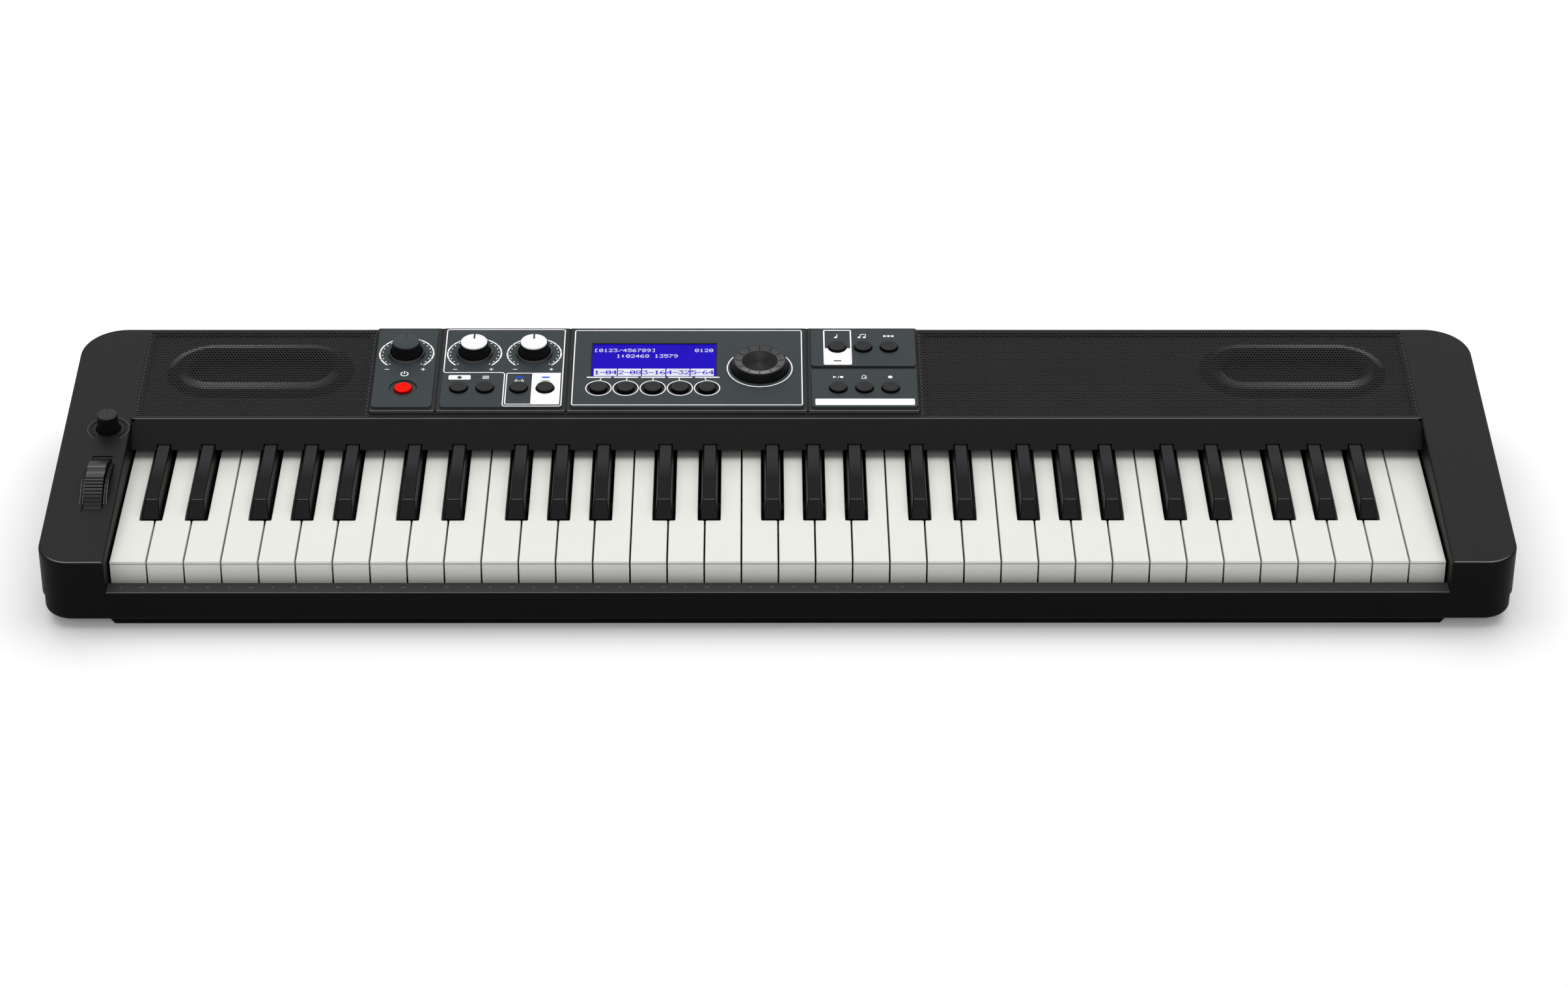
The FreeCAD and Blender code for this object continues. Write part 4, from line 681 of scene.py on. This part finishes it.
# Fascia teeth: the fascia's slope goes on down between the black keys, which pass through its notches
tooth = {
    "drop": 2.9, "lean": 0.935, "thick": 1.6, "gap": 0.4, "lap": 0.5, "root": 2.0, "end": 0.7,
    "keyTop": 2.5, "keysApart": 5.0, "clear": 1.0,
}
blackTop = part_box("black_keys_1")[1].z / mm
blackPoints = [v.co / mm for n in range(1, 6) for v in nodes[f"black_keys_{n}"].data.vertices]
spans = []
for kx in sorted(p.x for p in blackPoints if p.z > blackTop - tooth["keyTop"]):
    if not spans or kx - spans[-1][1] > tooth["keysApart"]:
        spans.append([kx, kx])
    spans[-1][1] = kx
underZ = blackTop + tooth["clear"]  # the fascia's lower edge clears the black keys by a millimetre
casePoints = [v.co / mm for v in nodes["upper_case"].data.vertices]
underY = min(p.y for p in casePoints if abs(p.z - underZ) < 0.05 and p.y > 0)
keyLow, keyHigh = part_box("white_keys_cegb_1")[0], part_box("white_key_top_c")[1]
starts = [keyLow.x / mm - tooth["end"]] + [b + tooth["gap"] for a, b in spans]
ends = [a - tooth["gap"] for a, b in spans] + [keyHigh.x / mm + tooth["end"]]
y0, z0 = underY + tooth["lap"] * tooth["lean"], underZ + tooth["lap"]
y1, z1 = underY - tooth["drop"] * tooth["lean"], underZ - tooth["drop"]
corners = [(y0, z0), (y1, z1), (y1 + tooth["thick"], z1), (y0 + tooth["thick"] + tooth["root"], z0)]
teeth = Shapes()
for x0, x1 in zip(starts, ends):
    teeth.solid(*([(x, y, z) for y, z in corners] for x in (x0, x1)))
teeth.build("fascia_teeth", caseBlack, matrix=mmMatrix)
print("teeth made")

# Dark strips that close the gaps between the panel's base blocks
strip = {"low": -0.4, "high": 1.7, "front": 1.0, "rear": 0.3, "slit": 0.2}
baseTop = 2.0
runs = []
baseMesh = nodes["panel_base"].data
basePoints = np.array([toPanel(v.co) for v in baseMesh.vertices])
for face in baseMesh.polygons:
    corners = basePoints[list(face.vertices)]
    if abs(corners[:, 2] - baseTop).max() < 0.05:
        runs.append((corners[:, 0].min(), corners[:, 0].max()))
closing = Shapes(strip["low"], strip["high"])
reached = min(runs)[1]
for x0, x1 in sorted(runs):
    if x0 > reached + strip["slit"]:
        closing.bar(reached, x0, basePoints[:, 1].min() + strip["front"], basePoints[:, 1].max() - strip["rear"])
    reached = max(reached, x1)
closing.build("base_gap_strips", innerBlack)

# Knobs: a fluted grip, a cap with a pointer, and a collar
knob = {
    "grip": 9.9, "shoulder": 9.15, "flutes": 44, "flute": 0.45, "cap": 8.75, "capRise": 0.9, "capEdge": 0.35,
    "collar": 12.0, "moat": 10.9, "collarRise": 2.0, "collarEdge": 0.4, "pointer": 1.15, "pointerFrom": 3.0,
}
plateTop = panelBox("effects_plate")[4]
grip, shoulder, cap, collar, moat, flute = (knob[k] for k in ("grip", "shoulder", "cap", "collar", "moat", "flute"))
for name, capLook in (("volume_knob", capGrey), ("effect_knob_1", capWhite), ("effect_knob_2", capWhite)):
    x, s = turnAt(name + "_turn")
    top = panelBox(name)[4]
    rise, crest = top - knob["capRise"], plateTop + knob["collarRise"]
    rings = [
        (grip - 0.3, baseTop + 0.3), (grip, baseTop + 0.8), (grip, plateTop + 0.6), (grip, plateTop + 1.0, flute),
        (shoulder + 0.1, rise - 0.4, flute), (shoulder - 0.1, rise), (cap - 0.3, rise),
    ]
    piece = makePiece(name + "_grip", *turned(x, s, rings, knob["flutes"] * 6, knob["flutes"]), controlBlack, name)
    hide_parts(name)
    rings = [(cap, rise - 0.2)] + roundOver(cap, top, knob["capEdge"])
    piece = makePiece(name + "_cap", *turned(x, s, rings, 72), capLook, name)
    mark = Shapes(top - 0.2, top + 0.05)
    half = knob["pointer"] / 2
    mark.bar(x - half, x + half, s + knob["pointerFrom"], s + cap - 0.25)
    mark.build(name + "_pointer", printDark, name)
    rings = [(collar, baseTop + 0.02)] + roundOver(collar, crest, knob["collarEdge"])
    rings += [(moat + 0.2, crest), (moat, crest - 0.3), (moat, baseTop + 0.1)]
    makePiece(name + "_collar", *turned(x, s, rings, 96), collarBlack)
print("knobs made")

# The dial: a smooth grip, a lip, a band that slopes in with notches, and a spun disc
dial = {
    "grip": 19.0, "top": 17.8, "lip": 16.6, "disc": 11.9, "dish": 1.1, "edge": 0.7, "steps": 144,
    "notches": 12, "notchWidth": 0.75, "notchThick": 0.3, "notchFrom": 0.7, "notchTo": 0.5,
}
x, s = turnAt("data_dial_turn")
top = panelBox("data_dial")[4]
dish = top - dial["dish"]
grip, lip, disc = dial["grip"], dial["lip"], dial["disc"]
rings = [(grip, baseTop + 0.3), (grip, plateTop + 0.2)] + roundOver(dial["top"], top, dial["edge"])
rings += [(lip, top), (lip - 0.1, top - 0.3), (disc, dish - 0.4)]
body = makePiece("dial_body", *turned(x, s, rings, dial["steps"]), controlBlack, "data_dial")
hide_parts("data_dial")
rings = [(lip - 0.05, dish - 0.35), (lip - 0.05, top - 0.12), (disc, dish), (disc, dish - 0.3)]
makePiece("dial_band", *turned(x, s, rings, dial["steps"]), bandGrey, "data_dial")
rings = [(disc - 0.05, dish - 0.25), (disc - 0.05, dish + 0.05)]
makePiece("dial_disc", *turned(x, s, rings, 96), spunDark, "data_dial")
notches = Shapes()
radii = disc + dial["notchFrom"], lip - dial["notchTo"]
for n in range(dial["notches"]):
    a = math.radians(90 + 360 * n / dial["notches"])
    inner, outer = (onCircle(x, s, r, a) for r in radii)
    notches.slopingStroke(inner, outer, dial["notchWidth"], dish + 0.2, top - 0.16, dial["notchThick"])
notches.build("dial_notches", innerBlack, "data_dial")
print("dial made")

# Buttons: low round caps; the red one sits lower, in a ring
button = {
    "radius": 5.7, "edge": 0.55, "dish": 0.12, "foot": 0.8, "redDrop": 0.9,
    "ring": 9.0, "ringGap": 0.35, "ringDrop": 0.8,
}
for name in [n for n in nodes if n.endswith("_button") or n.startswith("display_button")]:
    x, s = controlAt(name)
    red = name == "power_button"
    radius, dent = button["radius"], button["dish"]
    top = panelBox(name)[4] - (button["redDrop"] if red else 0)
    rings = [(radius, baseTop - button["foot"])] + roundOver(radius, top, button["edge"])
    rings += [(radius * 0.55, top - dent * 0.6), (radius * 0.2, top - dent)]
    cap = makePiece(name + "_cap", *turned(x, s, rings, 64), buttonRed if red else buttonGrey, name)
    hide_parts(name)
x, s = controlAt("power_button")
ring = Shapes(baseTop, plateTop - button["ringDrop"])
ring.arc(x, s, button["ring"], button["radius"] + button["ringGap"], steps=64)
ring.build("power_ring", ringGrey)
print("buttons made")

# Pitch wheel: a ribbed rim with a finger dent, ridges beside it and stepped pads at the ends of its slot
wheel = {
    "radius": 36.0, "sector": 75, "step": 0.25, "rib": 4.0, "landShare": 0.66, "groove": 0.75, "plain": 8.0,
    "dentRadius": 7.0, "dentDepth": 1.4, "rim": 9.0, "width": 11.6, "slot": 13.1, "slotHalf": 30.1,
    "padGap": 27.2, "padDrop": 0.5, "padThick": 0.8, "padInset": 0.25, "padEnd": 0.2,
    "ridgeLength": 44.0, "ridgeRise": 6.2, "ridgeWidth": 2.0, "ridgeSteps": 48,
    "ridge": (  # across it, and out of its curve
        (-1.06, -6.0), (-1.06, -0.5), (-0.85, -0.1), (-0.4, 0.07),
        (0.4, 0.07), (0.85, -0.1), (1.06, -0.5), (1.06, -6.0),
    ),
    # The "scale" arc is a painted highlight on the edge of the engraved ring round the modulation knob
    "scale": (13.6, 13.3, -50, 230, 64),  # two radii, first and last angle, steps
}
x, middleS, middleH = toPanel(joints["pitch_wheel_turn"]["pos_m"])


def rimPoint(r, angle):
    return onCircle(middleS, middleH, r, math.radians(90 - angle))


radius, dent, sector, rib, plain = (wheel[k] for k in ("radius", "dentRadius", "sector", "rib", "plain"))
reach = radius + dent - wheel["dentDepth"]
profile = []
for i in range(int(sector * 2 / wheel["step"]) + 1):
    angle = -sector + i * wheel["step"]
    a = math.radians(angle)
    r = radius
    inside = dent ** 2 - (reach * math.sin(a)) ** 2
    if abs(angle) < plain:
        r = min(r, reach * math.cos(a) - math.sqrt(inside)) if inside > 0 else r
    elif (abs(angle) - plain) % rib > rib * wheel["landShare"]:
        r -= wheel["groove"]
    profile.append(rimPoint(r, angle))
profile += [rimPoint(radius - wheel["rim"], b) for b in range(sector, -sector - 1, -5)]
half = wheel["width"] / 2
ribbed = Shapes()
ribbed.solid(*([(end, s, h) for s, h in profile] for end in (x + half, x - half)))
rim = ribbed.build("wheel_rim", wheelBlack, "pitch_wheel", smoothAngle=20)
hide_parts("pitch_wheel")
pads = Shapes(-wheel["padDrop"] - wheel["padThick"], -wheel["padDrop"])
half = wheel["slot"] / 2 - wheel["padInset"]
for way in (-1, 1):
    ends = sorted(middleS + way * gap for gap in (wheel["padGap"], wheel["slotHalf"] - wheel["padEnd"]))
    pads.bar(x - half, x + half, *ends)
pads.build("wheel_pads", caseBlack)
length, rise, steps = wheel["ridgeLength"], wheel["ridgeRise"], wheel["ridgeSteps"]
curve = (length ** 2 / 4 + rise ** 2) / (2 * rise)
span = math.asin(length / 2 / curve)
faces = loft(steps + 1, len(wheel["ridge"]), closed=False)
for way, name in ((-1, "left"), (1, "right")):
    middle = x + way * (wheel["slot"] + wheel["ridgeWidth"]) / 2
    points = []
    for i in range(steps + 1):
        a = -span + 2 * span * i / steps
        for across, out in wheel["ridge"]:
            points.append((middle + across, *onCircle(middleS, rise - curve, curve + out, math.pi / 2 - a)))
    makePiece("wheel_ridge_" + name, points, faces, ridgeBlack)
# A thin light arc round the modulation knob: a painted highlight on its engraved ring's edge
scale = Shapes(-0.3, 0.04)
scale.arc(*turnAt("modulation_knob_turn"), *wheel["scale"])
scale.build("modulation_ring_highlight", printDimAndHighlight)
print("wheel made")

# Nickel rings round the jack sockets at the rear
socket = {
    "places": (-157.8, -133.8, -109.8), "z": 33.0, "rear": 129.0,
    "outer": 4.35, "inner": 3.35, "rise": 0.25, "root": 0.4,
}
rearMatrix = Matrix(((-mm, 0, 0, 0), (0, 0, mm, 0), (0, mm, 0, 0), (0, 0, 0, 1)))
sockets = Shapes(socket["rear"] - socket["root"], socket["rear"] + socket["rise"])
for x in socket["places"]:
    sockets.arc(-x, socket["z"], socket["outer"], socket["inner"])
sockets.build("jack_rings", nickel, matrix=rearMatrix)
print("jack rings made")

# Display: a lit field behind a black rim, with plain numbers in square dots over a row of tabs
# Each sign has seven rows of five dots, as bits
glyphs = {
    "0": (14, 17, 19, 21, 25, 17, 14), "1": (4, 12, 4, 4, 4, 4, 14), "2": (14, 17, 1, 2, 4, 8, 31),
    "3": (31, 2, 4, 2, 1, 17, 14), "4": (2, 6, 10, 18, 31, 2, 2), "5": (31, 16, 30, 1, 1, 17, 14),
    "6": (6, 8, 16, 30, 17, 17, 14), "7": (31, 1, 2, 4, 8, 8, 8), "8": (14, 17, 17, 14, 17, 17, 14),
    "9": (14, 17, 17, 15, 1, 2, 12), "[": (14, 8, 8, 8, 8, 8, 14), "]": (14, 2, 2, 2, 2, 2, 14),
    "/": (0, 1, 2, 4, 8, 16, 0), ":": (0, 12, 12, 0, 12, 12, 0), "-": (0, 0, 0, 31, 0, 0, 0),
}
display = {
    "drop": 0.35, "thick": 1.2, "rim": 0.7, "rimCorner": 0.5, "inset": 0.1,
    "dot": 0.53, "dotRise": 0.06, "dotFill": 0.92, "tabs": ("1-04", "2-08", "3-16", "4-32", "5-64"), "tabDot": 0.64,
    "tabGap": 0.8, "tabDepth": 8.4, "tabEdge": 1.2, "tabFront": 0.5, "tabText": 1.9, "tabHalf": 11.5,
    "markRise": 0.04, "upperLine": 9.4, "lowerLine": 16.0,
}


def dotText(shapes, text, x, s, dot):
    for letter, mark in enumerate(text):
        for row, bits in enumerate(glyphs.get(mark, ())):
            low = s + (6 - row) * dot
            for run in re.finditer("1+", f"{bits:05b}"):  # dots side by side make one bar
                left, right = (x + (letter * 6 + column) * dot for column in run.span())
                shapes.bar(left, right, low, low + dot * display["dotFill"])


x0, x1, s0, s1, lensTop = panelBox("display_lens")
fieldTop = lensTop - display["drop"]
fieldLow = fieldTop - display["thick"]
rim = Shapes(fieldLow, lensTop - 0.05)
rim.frame(boxCorners(x0, x1, s0, s1, display["rimCorner"]), display["rim"])
rim.build("display_rim", innerBlack)
inset = display["inset"]
field = Shapes(fieldLow, fieldTop)
field.bar(x0 + inset, x1 - inset, s0 + inset, s1 - inset)
lens = field.build("display_field", displayBlue)
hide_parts("display_lens")
inX, inS = x0 + display["rim"] + display["tabEdge"], s0 + display["rim"] + display["tabFront"]
dotTop = fieldTop + display["dotRise"]
dots, tabs = (Shapes(fieldTop - inset, dotTop) for n in range(2))
marks = Shapes(dotTop, dotTop + display["markRise"])
tabCount = len(display["tabs"])
tabWidth = (x1 - x0 - 2 * (display["rim"] + display["tabEdge"]) - (tabCount - 1) * display["tabGap"]) / tabCount
for n, text in enumerate(display["tabs"]):
    left = inX + n * (tabWidth + display["tabGap"])
    tabs.bar(left, left + tabWidth, inS, inS + display["tabDepth"])
    for shift in (0, 0.5):  # struck twice for bold figures
        start = left + tabWidth / 2 + (shift - display["tabHalf"]) * display["tabDot"]
        dotText(marks, text, start, inS + display["tabText"], display["tabDot"])
for text, x, line in (
    ("[0123/456789]", inX - 0.3, "upperLine"), ("0120", x1 - 14.6, "upperLine"),
    ("1:02468 13579", x0 + 16.5, "lowerLine"),
):
    dotText(dots, text, x, s1 - display[line], display["dot"])
for shapes, name, look in (
    (dots, "display_dots", pixelWhite), (tabs, "display_tabs", pixelWhite), (marks, "display_marks", displayBlue),
):
    shapes.build(name, look, smoothAngle=0)
print("display made")

# Printed marks, as thin layers on the plates
ink = {
    "line": 0.7, "root": 0.15, "rise": 0.05, "scale": (18.4, 17.4), "dots": 16.1, "dot": 0.5, "dotSteps": 10,
    "from": -49, "to": 229, "parts": 10, "partGap": 1, "hole": 6.4,
    "signAcross": 12.0, "signBelow": 18.3, "signArm": 1.4, "signHalf": 0.3, "powerRise": 16.4,
}
inkTop = plateTop + ink["rise"]
white, dark = Shapes(plateTop - ink["root"], inkTop), Shapes(inkTop - 0.02, inkTop + 0.03)
step = (ink["to"] - ink["from"]) / ink["parts"]
for name in ("volume_knob", "effect_knob_1", "effect_knob_2"):
    x, s = turnAt(name + "_turn")
    for n in range(ink["parts"]):
        start = ink["from"] + n * step
        white.arc(x, s, *ink["scale"], start + ink["partGap"], start + step - ink["partGap"], 8)
    for n in range(2 * ink["parts"] + 1):
        a = math.radians(ink["from"] + n * step / 2)
        white.disc(*onCircle(x, s, ink["dots"], a), ink["dot"], ink["dotSteps"])
    arm, half = ink["signArm"], ink["signHalf"]
    for mark in (-1, 1):  # a minus sign and a plus sign
        mx, ms = x + mark * ink["signAcross"], s - ink["signBelow"]
        white.bar(mx - arm, mx + arm, ms - half, ms + half)
        if mark > 0:
            white.bar(mx - half, mx + half, ms + half, ms + arm)
            white.bar(mx - half, mx + half, ms - arm, ms - half)
x, s = controlAt("power_button")
s += ink["powerRise"]
white.arc(x, s, 2.7, 2.0, 118, 422, 28)
white.bar(x - 0.35, x + 0.35, s, s + 3.2)

# Effects plate: a line round the knobs that drops round the right two buttons
x0, x1, s0, s1, h = panelBox("effects_plate")
left, right, back, front = x0 + 0.35, x1 - 0.35, s1 - 0.35, s0 + 0.6
homeX, menuX, surroundX, dspX = (controlAt(n + "_button")[0] for n in ("home", "menu", "surround", "dsp"))
rowS = controlAt("dsp_button")[1]
stepX, stepS = (menuX + surroundX) / 2 + 0.8, rowS + 17.7
white.frame([(x, s, 2.0) for x, s in (
    (stepX, front), (right, front), (right, back), (left, back), (left, stepS), (stepX, stepS),
)], ink["line"])
boxLeft, boxRight, boxBack, boxFront = stepX + 1.5, right - 1.6, stepS - 0.2, front + 2.2
split = (surroundX + dspX) / 2 + 0.3
white.frame(boxCorners(boxLeft, split, boxFront, boxBack, 1.2), ink["line"])
boxWithHole(white, split, boxRight, boxFront, boxBack, dspX, rowS, ink["hole"])
rowS = controlAt("home_button")[1]
white.label(homeX - 7.3, homeX + 7.3, rowS + 9.8, rowS + 14.9, 0.9)
house = ((-1.3, 10.8), (1.3, 10.8), (1.3, 12.3), (2.1, 12.3), (0, 14.1), (-2.1, 12.3), (-1.3, 12.3))
dark.prism([(homeX + dx, rowS + ds) for dx, ds in house])
for n in range(3):
    white.bar(menuX - 2.2, menuX + 2.2, rowS + 10.7 + n * 1.4, rowS + 11.3 + n * 1.4)
white.disc(surroundX, rowS + 8.2, 0.45, ink["dotSteps"])
for start in (-50, 130):
    for reach in (1.7, 2.9):
        white.arc(surroundX, rowS + 8.2, reach, reach - 0.5, start, start + 100, 8)
dark.bar(dspX - 3.0, dspX + 3.0, rowS + 8.0, rowS + 8.6)

# Display plate: a line inside its edge, rings round the buttons with leaders up to the tabs, a ring round the dial
x0, x1, s0, s1, h = panelBox("display_plate")
white.frame(boxCorners(x0 + 0.6, x1 - 0.6, s0 + 1.9, s1 - 1.6, 1.6), ink["line"])
lensX = controlAt("display_lens")[0]
for n in range(1, 6):
    x, s = controlAt(f"display_button_{n}")
    white.arc(x, s, 8.7, 8.05)
    white.bar(x - 8.0, x + 8.1, s + 11.8, s + 13.0)
    lean = (lensX - x) * 0.045
    white.stroke((x + lean * 0.3, s + 8.2), (x + lean, s + 12.0), 0.6)
x, s = turnAt("data_dial_turn")
white.arc(x, s - 1.3, 21.9, 21.1, steps=96)

# Tone plate: a box round the first button, half of it filled, and plain signs over the others
x, s = controlAt("tone_button")
low, high = s - 20.2, s + 20.6
white.frame(boxCorners(x - 9.2, x + 9.6, low, high, 1.2), 0.9)
dip = math.asin(1 / ink["hole"])
arcLine = [onCircle(x, s, ink["hole"], a) for a in np.linspace(-dip, -math.pi + dip, 25)]
white.prism([(x - 8.5, low + 0.7), (x + 8.9, low + 0.7), (x + 8.9, s - 1)] + arcLine + [(x - 8.5, s - 1)])
dark.bar(x - 2.6, x + 2.6, s - 16.3, s - 15.1)


# Plain signs: a note, a pair of notes and three squares
def note(x, s):
    white.disc(x - 0.9, s - 1.5, 0.95, 14)
    white.bar(x - 0.25, x + 0.25, s - 1.5, s + 2.2)


note(x, s + 13.3)
x, s = controlAt("rhythm_button")
note(x - 1.6, s + 13.3)
note(x + 1.9, s + 13.3)
white.bar(x - 1.85, x + 2.15, s + 15.0, s + 15.6)
x, s = controlAt("registration_button")
for n in (-1, 0, 1):
    white.bar(x + n * 2.6 - 0.9, x + n * 2.6 + 0.9, s + 12.4, s + 14.2)

# Transport plate: play and stop, a pendulum, a round sign, and a plain strip at the front
x, s = controlAt("play_button")
white.prism([(x - 3.2, s + 11.6), (x - 0.9, s + 12.7), (x - 3.2, s + 13.8)])
white.stroke((x - 0.1, s + 11.4), (x + 0.7, s + 14.0), 0.35)
white.bar(x + 1.4, x + 3.4, s + 11.7, s + 13.7)
x, s = controlAt("tempo_button")
pendulum = (
    ((-1.7, 10.9), (1.7, 10.9)), ((-1.7, 10.9), (-0.8, 14.6)), ((1.7, 10.9), (0.8, 14.6)), ((-0.8, 14.6), (0.8, 14.6)),
    ((0, 11.4), (1.6, 14.0)),
)
for a, b in pendulum:
    white.stroke((x + a[0], s + a[1]), (x + b[0], s + b[1]), 0.4)
x, s = controlAt("record_button")
white.disc(x, s + 12.7, 1.5, 24)
x0, x1, s0, s1, h = panelBox("transport_plate")
white.label(x0 + 2.3, x1 - 2.1, s0 + 2.0, s0 + 9.2, 0.9)
white.build("printed_marks", printWhite, smoothAngle=0)

# Small ticks on the lip, under the lower keys: wide ones for the sharps
tick = {
    "count": 37, "first": -4.0, "pitchShare": 7 / 12, "widths": (1.6, 2.5), "sharps": (1, 3, 6, 8, 10), "depth": 1.1,
    "back": 1.6, "low": 27.7, "high": 27.85,
}
pitch = (keyHigh.x - keyLow.x) / 36 / mm
lipY = (caseLow.y + keyLow.y) / 2 / mm - tick["back"]
ticks = Shapes(tick["low"], tick["high"])
for n in range(tick["count"]):
    x = keyLow.x / mm + pitch / 2 + tick["first"] + n * pitch * tick["pitchShare"]
    half = tick["widths"][n % 12 in tick["sharps"]] / 2
    ticks.bar(x - half, x + half, lipY, lipY + tick["depth"])
ticks.build("lip_ticks", printDimAndHighlight, matrix=mmMatrix, smoothAngle=0)
dark.build("printed_dark_marks", printDark, smoothAngle=0)
lights = Shapes(baseTop, plateTop + 0.12)
for lampX in (surroundX, dspX):
    lights.label(lampX - 2.7, lampX + 2.7, rowS + 11.6, rowS + 13.1, 0.7)
lights.build("panel_lights", ledBlue)
print("printed marks made")

# Camera
view = {
    "place": (-16.618, -2357.384, 1478.194), "turn": 0.5081, "down": 31.7162, "roll": 0.2478,
    "lens": 97.185, "sensor": 36,
}
yaw, down, roll = (math.radians(view[k]) for k in ("turn", "down", "roll"))
aim = Matrix.Rotation(-yaw, 4, "Z") @ Matrix.Rotation(math.pi / 2 - down, 4, "X") @ Matrix.Rotation(roll, 4, "Z")
camData = bpy.data.cameras.new("camera")
camData.sensor_fit = "HORIZONTAL"
camData.sensor_width = view["sensor"]
camData.lens = view["lens"]
camera = bpy.data.objects.new("camera", camData)
camera.matrix_world = Matrix.Translation(Vector(view["place"]) * mm) @ aim
scene = bpy.context.scene
scene.collection.objects.link(camera)
scene.camera = camera


# A strength that differs for the rays that show the background, also in metal and glass
def seenFromTo(tree, hidden, shown):
    path = tree.nodes.new("ShaderNodeLightPath").outputs
    seen = combine(tree, "ADD", path["Is Camera Ray"], path["Is Transmission Ray"])
    return mapRange(tree, combine(tree, "ADD", seen, path["Is Glossy Ray"]), 0, 1, hidden, shown)


# Floor, world and soft lamps
studio = {"floorHalf": 6, "floorTone": 0.98, "floorShown": 0.12, "worldHidden": 0.36, "worldShown": 1}
floorMat, floorTree, floorShader = newMaterial("floor_white")
feed(floorTree, floorShader, {
    "Base Color": (studio["floorTone"],) * 3 + (1,), "Roughness": 1, "Specular IOR Level": 0,
    "Emission Color": (1, 1, 1, 1), "Emission Strength": seenFromTo(floorTree, 0, studio["floorShown"]),
})
far = studio["floorHalf"]
floorMesh = bpy.data.meshes.new("floor")
floorMesh.from_pydata([(-far, -far, 0), (far, -far, 0), (far, far, 0), (-far, far, 0)], [], [(0, 1, 2, 3)])
floorMesh.materials.append(floorMat)
floor = bpy.data.objects.new("floor", floorMesh)
scene.collection.objects.link(floor)
floor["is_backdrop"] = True
world = bpy.data.worlds.new("studio")
world.use_nodes = True
scene.world = world
worldTree = world.node_tree
feed(worldTree, worldTree.nodes["Background"], {
    "Color": (1, 1, 1, 1), "Strength": seenFromTo(worldTree, studio["worldHidden"], studio["worldShown"]),
})
lamps = {
    "lamp_above": {"place": (0, 0.35, 1.9), "aim": (0, 0.1, 0), "size": (3.6, 1.9), "power": 30},
    "lamp_behind": {"place": (0, 1.9, 1.5), "aim": (0, 0, 0), "size": (3.4, 1.2), "power": 18},
    "lamp_front": {"place": (0, -2.6, 1.9), "aim": (0, 0, 0), "size": (3.4, 1.2), "power": 12},
}
for name, lamp in lamps.items():
    data = bpy.data.lights.new(name, "AREA")
    data.shape = "RECTANGLE"
    data.size, data.size_y = lamp["size"]
    data.energy = lamp["power"]
    item = bpy.data.objects.new(name, data)
    item.location = lamp["place"]
    item.rotation_euler = (Vector(lamp["aim"]) - Vector(lamp["place"])).to_track_quat("-Z", "Y").to_euler()
    scene.collection.objects.link(item)
scene.view_settings.view_transform = "Standard"
print("camera, floor and lamps made")

low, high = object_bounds()
